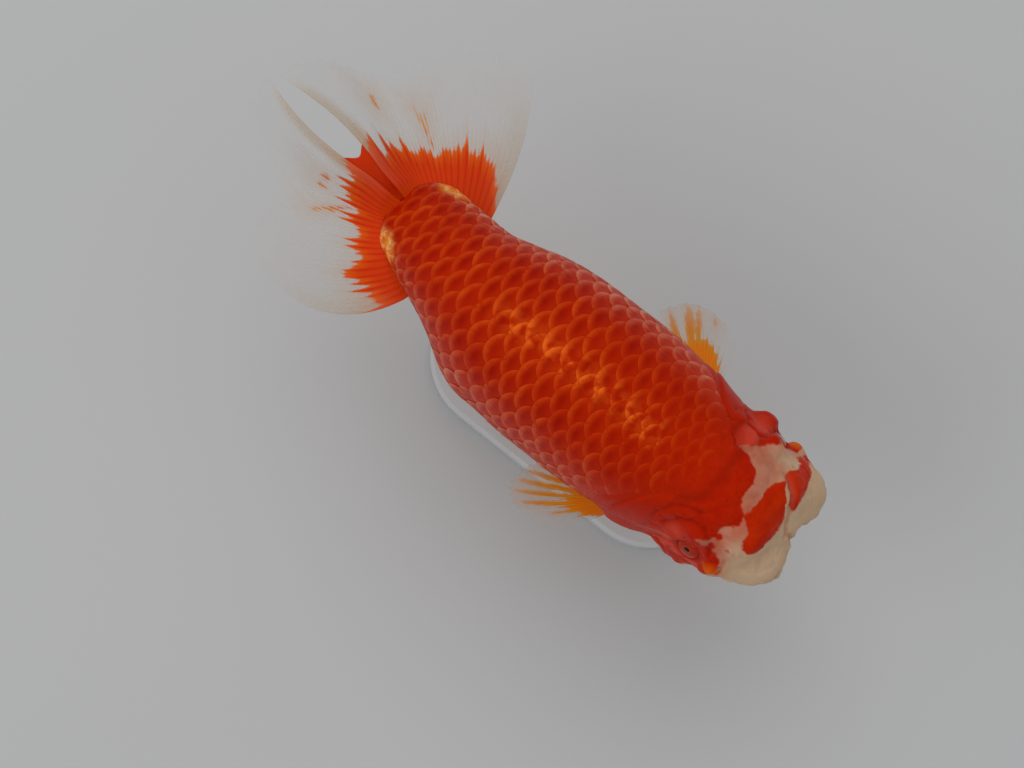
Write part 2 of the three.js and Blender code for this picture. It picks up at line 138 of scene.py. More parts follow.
def spine(d):
    """The spine's point at station d, and the directions to the fish's left and back there."""
    radius = (BEND_END - BEND_START) / BEND_ANGLE
    turn = np.clip((d - BEND_START) / (BEND_END - BEND_START), 0, 1) * BEND_ANGLE
    beyond = np.maximum(d - BEND_END, 0)
    x = SNOUT_X - np.minimum(d, BEND_START) - radius * np.sin(turn) - beyond * np.cos(turn)
    y = radius * (1 - np.cos(turn)) + beyond * np.sin(turn)
    zero = np.zeros_like(turn)
    left = np.stack([np.sin(turn), np.cos(turn), zero], -1)
    back = np.stack([-np.cos(turn), np.sin(turn), zero], -1)
    return np.stack([x, y, zero], -1), left, back


def place(d, out, level):
    """From station, distance to the left and level to the frame."""
    d, out, level = np.broadcast_arrays(np.asarray(d, float), out, level)
    point, left, _ = spine(d)
    point = point + left * out[..., None]
    point[..., 2] = FISH_HEIGHT + level
    return point


def fuller(value):
    """A sine or cosine made larger, for sections that are fuller than an ellipse."""
    return np.sign(value) * np.abs(value) ** (2 / SECTION_POWER)


def smooth_body(d, angle):
    """The body before its growths."""
    d, angle = np.broadcast_arrays(np.asarray(d, float), angle)
    middle = read_profile(2, d)
    end = np.where(np.sin(angle) > 0, read_profile(3, d), read_profile(4, d))
    level = middle + np.abs(end - middle) * end_size(d) * fuller(np.sin(angle))
    return place(d, widest(d) * fuller(np.cos(angle)), level)


def norm(vectors):
    """The lengths of vectors."""
    return np.linalg.norm(vectors, axis=-1)


def unit(vectors):
    """The vectors at a length of one."""
    return vectors / np.maximum(np.linalg.norm(vectors, axis=-1, keepdims=True), 1e-12)


def smooth_normal(d, angle):
    """The outward directions of the body before its growths."""
    step, end = 0.02, 1e-3
    inside = np.clip(d, end, BODY_LENGTH - end)
    low, high = np.clip(inside - step, end, None), np.clip(inside + step, None, BODY_LENGTH - end)
    along = smooth_body(high, angle) - smooth_body(low, angle)
    around = smooth_body(inside, angle + step) - smooth_body(inside, angle - step)
    return unit(np.cross(along, around))


def growth_list():
    """All the growths, with those of both sides written out."""
    rows = list(ONE_SIDE)
    for d, angle, reach, height in BOTH_SIDES:
        rows += [(d, angle, reach, height), (d, 180 - angle, reach, height)]
    return rows


def growth_height(points):
    """The height of all the growths at points of the smooth body."""
    total = np.zeros(points.shape[:-1])
    for d, angle, reach, height in growth_list():
        centre = smooth_body(d, math.radians(angle))
        share = 1 - np.sum((points - centre) ** 2, -1) / reach**2
        total += height * np.clip(share, 0, None) ** 2
    return total


def body_point(d, angle, height=0.0):
    """The skin of the CAD model, raised by a height."""
    points = smooth_body(d, angle)
    return points + smooth_normal(d, angle) * (growth_height(points) + height)[..., None]


# ------------------------------------------------------------------ the fins' shape

TAIL = {
    "left": dict(inner_yaw=(-8, -14), inner_length=46, outer_yaw=(74, 38), outer_pitch=-9, outer_length=48),
    "right": dict(inner_yaw=(24, 4), inner_length=49, outer_yaw=(102, 0), outer_pitch=-14, outer_length=45),
}
TAIL_ROOT = dict(d=109, back=6, forward=7.5, out=6, top=1.5, drop=8.5)
TAIL_FORK = dict(at=0.45, depth=0.29, width=0.28)
TAIL_CORNER = dict(inner=0.04, outer=0.05, sharpness=7)
TAIL_CLEFT = dict(start=0.28, gap=1.3)
TAIL_RIDGE = dict(width=0.2, root_pitch=42, side_pitch=6, tip_pitch=6, fall=8)
RAY_STEPS = 6
CUT = 0.3  # the gap between the two sides of the tail


def ray_point(root, back, out, length, yaw, pitch, t):
    """Walks along a fin ray from its root, turning evenly from one yaw and pitch to others."""
    point = np.array(np.broadcast_to(root, np.broadcast_shapes(root.shape[:-1], np.shape(t)) + (3,)), float)
    for i in range(RAY_STEPS):
        at = (i + 0.5) / RAY_STEPS * t
        turn = np.radians(yaw[0] + (yaw[1] - yaw[0]) * at)
        lift = np.radians(pitch[0] + (pitch[1] - pitch[0]) * at)
        stride = length * t / RAY_STEPS
        point += back * (stride * np.cos(lift) * np.cos(turn))[..., None]
        point += out * (stride * np.cos(lift) * np.sin(turn))[..., None]
        point[..., 2] += stride * np.sin(lift)
    return point


def mix(a, b, t):
    """From a to b as t runs from 0 to 1."""
    return a + (b - a) * t


def bell(value, width):
    """1 at nothing, falling smoothly to 0 within about two widths."""
    return np.exp(-((value / width) ** 2))


def tail_surface(side, u, v):
    """One side of the twin tail: u from the inner ray to the outer ray, v from root to margin."""
    shape, start = TAIL[side], TAIL_ROOT
    _, left, back = spine(np.array(float(start["d"])))
    out = left * SIGNS[side]
    u, v = np.broadcast_arrays(u, v)
    turned = u * math.pi / 2
    root = place(start["d"], 0, 0) + back * mix(-start["forward"], start["back"], np.cos(turned))[..., None]
    root = root + out * (CUT / 2 + start["out"] * np.sin(turned))[..., None]
    root[..., 2] += start["top"] - start["drop"] * (1 - np.cos(turned))
    fork = 1 - TAIL_FORK["depth"] * bell(u - TAIL_FORK["at"], TAIL_FORK["width"])
    corner = TAIL_CORNER["inner"] * (1 - u) ** TAIL_CORNER["sharpness"]
    corner = corner + TAIL_CORNER["outer"] * u ** TAIL_CORNER["sharpness"]
    length = mix(shape["inner_length"], shape["outer_length"], u) * fork * (1 - corner)
    yaw = [mix(shape["inner_yaw"][end], shape["outer_yaw"][end], u) for end in (0, 1)]
    ridge = bell(u, TAIL_RIDGE["width"])
    pitch = [
        mix(TAIL_RIDGE["side_pitch"], TAIL_RIDGE["root_pitch"], ridge) - TAIL_RIDGE["fall"] * u,
        mix(shape["outer_pitch"] * u, TAIL_RIDGE["tip_pitch"], ridge),
    ]
    parted = np.clip((v - TAIL_CLEFT["start"]) / (1 - TAIL_CLEFT["start"]), 0, 1)
    gap = TAIL_CLEFT["gap"] * np.sin(math.pi * parted) * ridge
    return ray_point(root, back, out, length, yaw, pitch, v) + out * gap[..., None]


# A root is the station, distance out and level of the outer ray's root, and how far back and up from it the
# inner ray's lies.
PAIRED_FINS = {
    "pectoral_fin": dict(
        root=(35, 14.5, -11, 4.5, -3), length=26, ends=(15, 16), fan_pitch=0, curl=8,
        inner_yaw=12, outer_yaw=dict(left=86, right=64), pitch=dict(left=-22, right=-14),
    ),
    "pelvic_fin": dict(
        root=(52, 7, -21.5, 4, -1), length=26, ends=(15, 21), fan_pitch=0, curl=10,
        inner_yaw=4, outer_yaw=dict(left=52, right=52), pitch=dict(left=-27, right=-27),
    ),
    "anal_fin": dict(
        root=(85, 2.6, -15.5, 6, 3.5), length=21, ends=(12, 20), fan_pitch=42, curl=6,
        inner_yaw=2, outer_yaw=dict(left=10, right=10), pitch=dict(left=-17, right=-17),
    ),
}


def fan_surface(fin, side, u, v):
    """A paired fin as a fan of rays, rounded at its margin."""
    shape, sign = PAIRED_FINS[fin], SIGNS[side]
    d, out_by, level, back_by, up = shape["root"]
    _, left, back = spine(np.array(float(d)))
    u, v = np.broadcast_arrays(u, v)
    start = place(d + back_by * (1 - u), sign * out_by, level + up * (1 - u))
    edge = mix(*shape["ends"], u)
    length = edge + (shape["length"] - edge) * np.sin(math.pi * u)
    turn = mix(shape["inner_yaw"], shape["outer_yaw"][side], u)
    lift = shape["pitch"][side] - shape["fan_pitch"] * u
    curl = shape["curl"]
    return ray_point(start, back, left * sign, length, (turn, turn - curl), (lift, lift + curl), v)


# ------------------------------------------------------------------ numbers, noise and outlines


def smoothstep(low, high, value):
    """From 0 at low to 1 at high, where low may be the larger of the two."""
    t = np.clip((value - low) / (high - low), 0, 1)
    return t * t * (3 - 2 * t)


def scatter(cubes, seed):
    """Three numbers from 0 to 1 for each cube of a grid, the same at every run."""
    turns = cubes @ np.array([[127.1, 269.5, 113.5], [311.7, 183.3, 271.9], [74.7, 246.1, 124.6]]) + seed
    return np.abs(np.modf(np.sin(turns) * 43758.5453)[0])


def cells(points, size, seed):
    """Distances to the nearest and the second nearest of points strewn one to each cube of a grid."""
    scaled = points / size
    base = np.floor(scaled)
    first = np.full(points.shape[:-1], 9.0)
    second = first.copy()
    for step in itertools.product((-1, 0, 1), repeat=3):
        cube = base + step
        gap = norm(cube + scatter(cube, seed) - scaled)
        second = np.minimum(second, np.maximum(first, gap))
        first = np.minimum(first, gap)
    return first * size, second * size


def waves(points, size, seed):
    """Smooth noise from -1 to 1 with hills of about one size."""
    scaled = points / size
    base = np.floor(scaled)
    t = scaled - base
    t = t * t * (3 - 2 * t)
    total = np.zeros(points.shape[:-1])
    for corner in itertools.product((0, 1), repeat=3):
        share = np.prod(np.where(np.array(corner) == 1, t, 1 - t), axis=-1)
        total += share * scatter(base + corner, seed)[..., 0]
    return 2 * total - 1


def to_segments(points, line, closed=False):
    """The least distance from points to a line of corners, in two or three dimensions."""
    corners = np.asarray(line, float)
    ends = np.roll(corners, -1, axis=0) if closed else corners[1:]
    least = np.full(points.shape[:-1], 1e9)
    for a, b in zip(corners, ends):
        along = np.clip(((points - a) @ (b - a)) / max((b - a) @ (b - a), 1e-12), 0, 1)
        least = np.minimum(least, norm(points - a - along[..., None] * (b - a)))
    return least


def inside_depth(points, outline):
    """How far inside an outline points lie, less than nothing outside it (two dimensions)."""
    corners = np.asarray(outline, float)
    within = np.zeros(points.shape[:-1], bool)
    for (x0, y0), (x1, y1) in zip(corners, np.roll(corners, -1, axis=0)):
        if y0 == y1:
            continue
        crosses = (points[..., 1] < y0) != (points[..., 1] < y1)
        within ^= crosses & (points[..., 0] < (x1 - x0) * (points[..., 1] - y0) / (y1 - y0) + x0)
    return np.where(within, 1, -1) * to_segments(points, corners, closed=True)


# ------------------------------------------------------------------ meshes


def grid_quads(rows, columns, closed=False):
    """The quads of a grid of points in rows, where closed joins the last column to the first."""
    across = columns if closed else columns - 1
    row, column = np.divmod(np.arange((rows - 1) * across), across)
    first = row * columns + column
    after = row * columns + (column + 1) % columns
    return np.stack([first, after, after + columns, first + columns], -1)


def capped_faces(rows, columns):
    """The faces of a tube of points in rows, turned outward, and of its two caps, whose middle points follow
    the tube's."""
    count = rows * columns
    ring = np.arange(columns)
    after = np.roll(ring, -1)
    last = count - columns
    front = np.stack([ring, after, np.full(columns, count)], -1)
    rear = np.stack([after + last, ring + last, np.full(columns, count + 1)], -1)
    return grid_quads(rows, columns, closed=True)[:, ::-1], front, rear


def sheet_faces(rows, columns):
    """The faces of a closed sheet, whose points are a grid in rows and then that grid on its other side."""
    count = rows * columns
    quads = grid_quads(rows, columns)
    grid = np.arange(count).reshape(rows, columns)
    ring = np.concatenate([grid[0], grid[1:, -1], grid[-1, -2::-1], grid[-2:0:-1, 0]])
    after = np.roll(ring, -1)
    rim = np.stack([ring, ring + count, after + count, after], -1)
    return np.concatenate([quads, quads[:, ::-1] + count, rim])


def add_object(name, data):
    """A new object in the scene."""
    added = bpy.data.objects.new(name, data)
    bpy.context.scene.collection.objects.link(added)
    return added


def make_piece(name, points, faces, replaced=()):
    """A smooth-shaded mesh object from points in millimetres and a list of arrays of faces."""
    mesh = bpy.data.meshes.new(name)
    all_faces = [face for group in faces for face in group.tolist()]
    mesh.from_pydata((np.asarray(points) * MM).tolist(), [], all_faces)
    mesh.shade_smooth()
    piece = add_object(name, mesh)
    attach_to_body(piece, "root")
    if replaced:
        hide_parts(*replaced)
    return piece


def attach(piece, **values):
    """Adds named numbers to a piece's points for its material to read."""
    for name, numbers in values.items():
        layer = piece.data.attributes.new(name, "FLOAT", "POINT")
        layer.data.foreach_set("value", np.asarray(numbers, np.float32).ravel())


def add_bake_map(piece, places):
    """Gives a piece the UV map OFBake from one place for each face corner."""
    layer = piece.data.uv_layers.new(name="OFBake")
    layer.data.foreach_set("uv", np.asarray(places, np.float32).ravel())


# ------------------------------------------------------------------ materials


class Paint:
    """A material's node tree, built by short calls that return sockets."""

    def __init__(self, name, **constants):
        self.material = bpy.data.materials.new(name)
        self.material.use_nodes = True
        self.tree = self.material.node_tree
        self.shader = self.tree.nodes["Principled BSDF"]
        self.set(**constants)

    def feed(self, socket, value):
        """Links a socket to another one, or sets it to a number or a colour."""
        if isinstance(value, bpy.types.NodeSocket):
            self.tree.links.new(value, socket)
        elif socket.type == "RGBA" and len(value) == 3:
            socket.default_value = (*value, 1)
        else:
            socket.default_value = value

    def set(self, **inputs):
        """Feeds the shader's sockets, named with _ for each space."""
        for key, value in inputs.items():
            self.feed(self.shader.inputs[key.replace("_", " ")], value)

    def node(self, kind, settings, **inputs):
        """A new node with its settings and the values or links of its sockets."""
        node = self.tree.nodes.new("ShaderNode" + kind)
        for key, value in settings.items():
            setattr(node, key, value)
        for key, value in inputs.items():
            self.feed(node.inputs[key.replace("_", " ")], value)
        return node

    def math(self, operation, first, second=0.0, clamped=False):
        """A sum on one or two numbers."""
        node = self.node("Math", {"operation": operation, "use_clamp": clamped})
        self.feed(node.inputs[0], first)
        self.feed(node.inputs[1], second)
        return node.outputs[0]

    def times(self, first, second):
        """Two numbers multiplied."""
        return self.math("MULTIPLY", first, second)

    def plus(self, first, second):
        """Two numbers added."""
        return self.math("ADD", first, second)

    def swing(self, value, amount):
        """A number from 0 to 1 turned into one that swings both ways by half an amount."""
        return self.times(self.math("SUBTRACT", value, 0.5), amount)

    def number(self, name):
        """What attach stored at the piece's points under a name."""
        return self.node("Attribute", {"attribute_name": name}).outputs["Fac"]

    def place(self):
        """The place on the piece."""
        return self.node("TexCoord", {}).outputs["Object"]

    def stretched(self, scale):
        """The place on the piece with its axes scaled."""
        return self.node("Mapping", {"vector_type": "POINT"}, Vector=self.place(), Scale=scale).outputs[0]

    def noise(self, size, detail=2.0, roughness=0.5, at=None):
        """Noise from 0 to 1 with grains of a size in millimetres."""
        inputs = dict(Scale=1 / (size * MM), Detail=detail, Roughness=roughness)
        return self.node("TexNoise", {}, Vector=at or self.place(), **inputs).outputs["Fac"]

    def grains(self, size):
        """Rounded cells of a size in millimetres, as the distance from each one's middle."""
        return self.node("TexVoronoi", {}, Vector=self.place(), Scale=1 / (size * MM)).outputs["Distance"]

    def between(self, value, low, high, to_low=0.0, to_high=1.0):
        """Runs smoothly from one number to another as a value runs from low to high."""
        node = self.node("MapRange", {"interpolation_type": "SMOOTHSTEP"}, Value=value)
        for key, number in (("From Min", low), ("From Max", high), ("To Min", to_low), ("To Max", to_high)):
            node.inputs[key].default_value = number
        return node.outputs[0]

    def mix(self, share, first, second):
        """A colour between two colours."""
        node = self.node("Mix", {"data_type": "RGBA"}, Factor=share)
        self.feed(node.inputs[6], first)
        self.feed(node.inputs[7], second)
        return node.outputs[2]

    def bump(self, height, distance, strength=1.0, under=None):
        """Raises the surface by a height from 0 to 1 times a distance in millimetres."""
        node = self.node("Bump", {}, Height=height, Strength=strength, Distance=distance * MM)
        if under is not None:
            self.feed(node.inputs["Normal"], under)
        return node.outputs[0]

    def cover(self, piece):
        """Gives the material to a piece."""
        piece.data.materials.clear()
        piece.data.materials.append(self.material)


# ------------------------------------------------------------------ the skin's own places


def on_skin(d, across):
    """The angle on the skin at station d for a distance across the plan, which runs on down the underside
    past the widest line."""
    share = np.clip(np.abs(across) / widest(d), 0, 2)
    above = share <= 1
    lean = np.where(above, share, 2 - share) ** (SECTION_POWER / 2)
    angle = np.where(above, 1, -1) * np.arccos(np.clip(lean, 0, 1))
    return np.where(across >= 0, angle, math.pi - angle)


def skin_line(corners):
    """Points on the skin for corners given as (station, distance across)."""
    d, across = np.asarray(corners, float).T
    return body_point(d, on_skin(d, across))


# How far the coat of scales starts behind the snout, by the angle down from the middle of the back.
COAT_EDGE = np.array([
    [0, 22.6], [22, 23.4], [34, 26.5], [50, 33], [70, 38.4], [85, 39.4], [110, 38.8], [150, 35], [180, 33],
])
COAT_DEPTH = 0.5  # the skin lies this far inside under the scales


def down_angle(angle):
    """Degrees down from the middle of the back, on either side."""
    return np.degrees(np.abs((angle - math.pi / 2 + math.pi) % (2 * math.pi) - math.pi))


def coat_start(angle):
    """The station where the coat starts at an angle round the body."""
    return np.interp(down_angle(angle), *COAT_EDGE.T)


def stations(head_end, head_step, body_step):
    """Stations whose rows are evenly apart along the skin, closer on the head than behind it."""
    front = SNOUT_ROUNDING * np.linspace(0.02, 1, 240) ** SNOUT_BLUNTNESS
    rear = BODY_LENGTH - STALK_ROUNDING * (np.linspace(1, 0.03, 80) ** STALK_BLUNTNESS)
    between = np.linspace(SNOUT_ROUNDING, BODY_LENGTH - STALK_ROUNDING, 800)[1:-1]
    fine = np.concatenate([front, between, rear])
    lines = [smooth_body(fine, math.radians(a)) for a in (0, 90, 180, 270)]
    lengths = np.mean([norm(np.diff(line, axis=0)) for line in lines], axis=0)
    middle = (fine[1:] + fine[:-1]) / 2
    spacing = mix(head_step, body_step, smoothstep(head_end, head_end + 5, middle))
    rows = np.concatenate([[0], np.cumsum(lengths / spacing)])
    return np.interp(np.linspace(0, rows[-1], int(rows[-1]) + 1), rows, fine)


# ------------------------------------------------------------------ the head's markings
# Outlines and lines on the head are lists of (station, distance across), as on_skin reads them.

RED_HEAD = [
    (22.6, 7.4), (19.2, 6.7), (16.4, 5.1), (15.3, 2.5), (15.3, -1.4), (14.2, -3.2), (12.4, -4.2),
    (11.9, -6.2), (14.7, -9.4), (14.4, -10.8), (15.5, -12.4), (17.6, -13.2), (14.5, -13.4),
    (11.9, -13.6), (10.3, -14.3), (9.6, -15.3), (9.7, -16.3), (12.2, -18.8), (13.6, -21.5), (18.5, -23),
    (23, -26.5), (23.5, -29.5), (19, -31), (15.4, -33), (16.4, -37), (21, -40), (130, -60), (130, 60),
    (19, 40), (15.5, 37), (16.8, 33), (22, 30), (20.6, 26.5), (14.6, 24.5), (11.2, 20.5), (12.1, 16),
    (14.2, 14.9), (16.2, 12.7), (18.4, 11.1), (20.4, 8.9),
]
BAR = [
    (9.9, 8.3), (11.8, 5.6), (12.2, 3.6), (11.9, 0), (12.2, -2.8), (12.6, -4.4), (10.8, -5.3),
    (9.2, -6.5), (9.1, -8.8), (8.2, -9.9), (6.6, -10), (5.4, -8.4), (5, -6.5), (4.7, -3.6), (4.7, -1.1),
    (5.5, 1.4), (6.7, 3.4), (7.5, 5.2), (9, 6.4),
]
PATCH = [
    (11.5, 14.8), (10.9, 16.2), (8.6, 15.9), (6.8, 14.2), (5.6, 11.3), (4.9, 8.4), (4.6, 6.1), (5, 4),
    (6.4, 4.3), (7.4, 5.9), (9.3, 7.5), (10.9, 8.7), (11, 10.2), (9.8, 11.8), (9.8, 14.1),
]
PALE_BAND = [(21, 7.8), (17.5, 8.6), (14, 8), (13.2, 3), (13.2, -1.5), (11, -6), (12, -10.5), (15.5, -13)]
PALE_BAND_WIDTH = 3.4
GILL_STREAK = [(28.3, -17.8), (26.6, -17.4), (24.4, -16.9), (22.4, -16.7)]
GILL_STREAK_WIDTH = 0.55
SPOTS = [(14.1, -13.2, 0.8), (13.7, -10.8, 0.7), (12.9, -7.4, 0.4)]  # (station, across, radius)

# Round marks on the sides of the head: (station, out, level, radius).
ORANGE_SPOTS = [(16, 16.3, 6, 2.4), (13.2, 17.0, 1, 2.6), (15.8, 13.1, 12, 1.5), (11.0, -16.0, 4.6, 3.3)]
# Pink patches on the cheeks: partly the growth's own pink and partly painted light, lightening cheeks that
# lie in shade at the sides of the head.
PINK_AND_LIT_CHEEKS = [(21.5, -17.6, 1.5, 5.0), (15.2, -17.2, 0, 3.6), (24.5, -17.2, 6.5, 3.6), (19.5, 17.6, 0, 4.0)]
RED_PATCHES = [
    (3.2, 10.5, -12, 2.4), (9.5, -15, -8.5, 2.0), (11.0, -16.2, 4.2, 2.3), (8.8, 16, 1.5, 2.2),
    (7.5, 14, -8, 2.6),
]
PALE_PATCHES = [
    (15.5, 17, -9, 4.6), (21, 16.5, -13.5, 4.2), (14.5, -17, -10.5, 4.2), (19.5, -17, -13, 4.6),
    (25.5, -16.5, -16.5, 3.2), (13.4, -17.4, -3.2, 2.1), (14, 17.6, -4, 2.6),
]

# Soft swellings of the growth on the head: (station, across, reach, height). The first few are pink, partly
# the growth's own colour and partly a painted highlight on their tops.
PINK_LUMPS = [
    (21.2, 16.6, 4.8, 1.4),  # upper cheek, left
    (22.6, 9.6, 3.6, 1.1),  # behind the left brow
    (22.6, -17.4, 4.4, 0.5),  # upper cheek, right
    (20.2, 21.5, 4.6, 0.6),  # lower cheek, left
    (20.2, -21.5, 4.6, 0.6),  # lower cheek, right
]
LUMPS = PINK_LUMPS + [
    (13.4, 16.8, 3.0, 0.6),  # before the left eye
    (11.3, -15.7, 2.2, 1.9),  # before the right eye
    (13.0, 23.0, 4.4, 0.5),  # below the left knob
    (13.0, -23.0, 4.4, 0.5),  # below the right knob
    (17.0, 13.2, 4.2, 1.5),  # left brow
    (17.6, -13.0, 4.0, 1.2),  # right brow
    (25.6, 12.6, 3.4, 0.4),  # behind the left lobes
    (25.4, -12.8, 3.4, 0.4),  # behind the right lobes
    (9.6, -19.6, 4.2, -0.9),  # hollow beyond the right knob
]
PINK_LEVELS = (6, 11)  # the pink lumps fade in between these levels, which keeps their painted highlight on their tops


def soft_ball(points, centre, radius, core):
    """1 within a ball's core, a share of its radius, and falling to 0 at its surface."""
    return smoothstep(radius, radius * core, norm(points - centre))


def head_marks(plan, points):
    """The head's markings: how deep inside the red and the bars each point lies, in millimetres, and its
    share from 0 to 1 of the pale band, the pink lobes and cheeks, which are partly painted light, the orange
    spots and the gill streak."""
    red = inside_depth(plan, RED_HEAD)
    for d, across, radius in SPOTS:
        red = np.maximum(red, radius - norm(plan - (d, across)))
    for d, out, level, radius in PALE_PATCHES:
        red = np.minimum(red, norm(points - place(d, out, level)) - radius)
    for d, out, level, radius in RED_PATCHES:
        red = np.maximum(red, radius - norm(points - place(d, out, level)))
    lobes = np.max([soft_ball(plan, (d, across), reach, 0.5) for d, across, reach, _ in PINK_LUMPS], axis=0)
    lobes = lobes * smoothstep(*PINK_LEVELS, points[..., 2] - FISH_HEIGHT)
    mottling = smoothstep(0.1, 0.6, 0.5 + waves(points, 1.6, 7.0))
    for d, out, level, radius in PINK_AND_LIT_CHEEKS:
        lobes = np.maximum(lobes, soft_ball(points, place(d, out, level), radius, 0.4) * mottling)
    return dict(
        red=red,
        bar=np.maximum(inside_depth(plan, BAR), inside_depth(plan, PATCH)),
        band=bell(to_segments(plan, PALE_BAND), PALE_BAND_WIDTH),
        lobes=lobes,
        orange=np.max([soft_ball(points, place(*spot[:3]), spot[3], 0.4) for spot in ORANGE_SPOTS], axis=0),
        streak=bell(to_segments(points, skin_line(GILL_STREAK)), GILL_STREAK_WIDTH),
    )


BEHIND_HEAD = dict(red=9.0, bar=-9.0, band=0.0, lobes=0.0, orange=0.0, streak=0.0)  # the marks past the head

# ------------------------------------------------------------------ the head's relief


def mirrored(folds):
    """Folds, and the same folds on the other side."""
    others = [(half_width, depth, [(d, -across) for d, across in line]) for half_width, depth, line in folds]
    return folds + others


# Folds of the skin: (half width, depth, corners).
FOLDS = mirrored([
    (0.4, 0.35, [(11.4, 19), (14.4, 20.6), (18, 21), (22.5, 19.8)]),
    (0.55, 0.5, [(29, 27.5), (24, 31), (17, 33.2), (12.5, 33.4)]),
]) + [
    (0.7, 0.55, [(2.6, -0.6), (3.6, 0.6), (5.2, 2.8), (6.6, 4.0), (7.6, 5.6), (9.3, 7), (11.6, 8.6)]),
    (1.5, 0.14, [(25.6, -9.5), (22.4, -6.5), (21.7, 0), (22.2, 6.5), (25.8, 9.8)]),
    (0.55, 0.45, [(19.2, 15.2), (19.6, 12.6), (21.2, 11.8), (24.2, 12.8), (26.4, 15.4), (26.8, 19)]),
    (0.5, 0.35, [(20.2, 8.2), (21, 6.8), (23.4, 6.6), (25.2, 8.6), (25.4, 11.4)]),
    (0.6, 0.2, [(24.4, 12.4), (27.8, 11.2), (30.5, 12.4)]),
    (0.6, 0.24, [(17.8, -10.8), (20.5, -11.4), (23.4, -12.8), (25.4, -15.2)]),
    (0.6, 0.16, [(20.2, -8.8), (23.2, -9.8), (26, -11.6), (27.8, -14)]),
    (0.55, 0.3, [(13.2, -14.6), (14.8, -12.4), (17.4, -11)]),
    (0.5, 0.3, [(28.4, 13.5), (28.6, 17.5), (27.8, 21.5), (25.2, 26.5), (20.5, 31)]),
    (0.5, 0.26, [(28.2, -14.5), (28.4, -17.5), (27.6, -21.5), (25.2, -26.5), (20.5, -31)]),
    (0.45, 0.35, [(9.4, 15.6), (10.4, 19), (9.8, 24), (8.2, 28)]),
    (0.45, 0.35, [(9.8, -13.4), (9.2, -15.2), (8.7, -17), (9.4, -19.6), (9.6, -23), (8.2, -28)]),
]
# Lumps on the front of the face: (distance across, level, reach, height).
FACE_LUMPS = [
    (0, -7.0, 7.4, -2.3), (0, -4.7, 3.0, 0.7), (0, -9.4, 3.4, 0.8), (9.9, -7.0, 3.9, 1.0),
    (-9.9, -6.8, 3.9, 1.0), (9.6, -13.4, 3.4, 0.6), (-9.6, -13.6, 3.4, 0.6), (7.4, -1.0, 3.2, 0.3),
    (-7.2, -0.8, 3.2, 0.6), (3.4, 0.8, 5.2, -1.5), (-3.4, 1.2, 2.8, 0.1), (5.6, 6.2, 3.2, 0.35),
    (-5.6, 6.6, 3.2, 0.35), (13.2, -5.8, 2.8, 0.5), (-13.2, -5.6, 2.8, 0.5),
]
# Creases of the face: (half width, depth, corners), each corner a distance across and a level.
FACE_FOLDS = [
    (0.55, 0.5, [(0.3, 7.5), (-0.2, 4.4), (0.2, 1.2), (0, -1.2)]),
    (0.6, 0.55, [
        (1.2, -1.0), (4.2, -2.2), (6.6, -5.0), (7.2, -8.6), (6.0, -12.0), (2.6, -13.8), (0, -14.2),
    ]),
    (0.6, 0.55, [
        (-1.2, -1.0), (-4.0, -2.0), (-6.4, -4.8), (-7.2, -8.4), (-6.2, -11.8), (-2.8, -13.7), (0, -14.2),
    ]),
    (0.5, 0.4, [(6.6, -5.0), (9.2, -2.6), (12.6, -2.0), (15, -3.4)]),
    (0.5, 0.4, [(-6.4, -4.8), (-9.0, -2.4), (-12.2, -1.6), (-15, -2.8)]),
    (0.5, 0.35, [(6.8, -10.6), (9.8, -11.6), (12.8, -10.6)]),
    (0.5, 0.35, [(-6.8, -10.4), (-9.6, -11.8), (-12.6, -11)]),
    (0.5, 0.35, [(2.2, 2.6), (5.4, 3.4), (8.6, 2.2), (10.4, -0.6)]),
    (0.5, 0.35, [(-2.0, 3.0), (-5.2, 4.0), (-8.4, 2.8), (-10.2, -0.2)]),
]
LUMP_POWER = 1.5
FOLD_SWELLING = 0.3  # how high the skin swells beside a fold, as a share of the fold's depth
RED_RISE, BAR_RISE = 0.25, 0.42  # how far the red growth and the bars stand over the pale skin
# Warts of the growth: their size, the width of the valleys between them, and their height.
WARTS = dict(size=4.4, valley=1.8, height=0.2, height_low=0.3)
FINE_WARTS = dict(size=1.7, valley=0.7, height=0.05)
EYE = dict(d=17.6, out=13.4, level=4, radius=4.1, opening=3.15, lift=24, forward=dict(left=14, right=-4))
EYE_RIM = dict(proud=0.25, drawn=0.7, reach=1.9, fold=0.35)
EYE_PIT = dict(reach=2.2, slope=1.6)
NOSTRIL = dict(d=10.6, across=11.4, radius=0.75, flap=0.45, pit=0.6)
MOUTH = dict(width=6.8, level=-6.8, droop=0.9, slit=1.7, slit_width=0.36, groove=0.35)
LIP = dict(height=0.95, out=0.95)
GILL = dict(reach=37.4, middle=-10, half=62, sweep=8.0, lip=0.3)


def eye_place(side):
    """The middle of an eyeball and the direction it looks in."""
    sign = SIGNS[side]
    lift, forward = math.radians(EYE["lift"]), math.radians(EYE["forward"][side])
    middle = place(EYE["d"], sign * EYE["out"], EYE["level"])
    level = math.cos(lift)
    return middle, np.array([level * math.sin(forward), sign * level * math.cos(forward), math.sin(lift)])


def plan_places(points, angle):
    """Station and distance across for a grid of skin points of the head, as on_skin reads them."""
    half = points.shape[1] // 2
    widths = np.where(np.cos(angle) >= 0, points[:, :1, 1], -points[:, half : half + 1, 1])
    across = np.abs(points[..., 1])
    across = np.where(np.sin(angle) < 0, 2 * np.maximum(widths, across) - across, across)
    return np.stack([SNOUT_X - points[..., 0], across * np.where(np.cos(angle) >= 0, 1, -1)], -1)


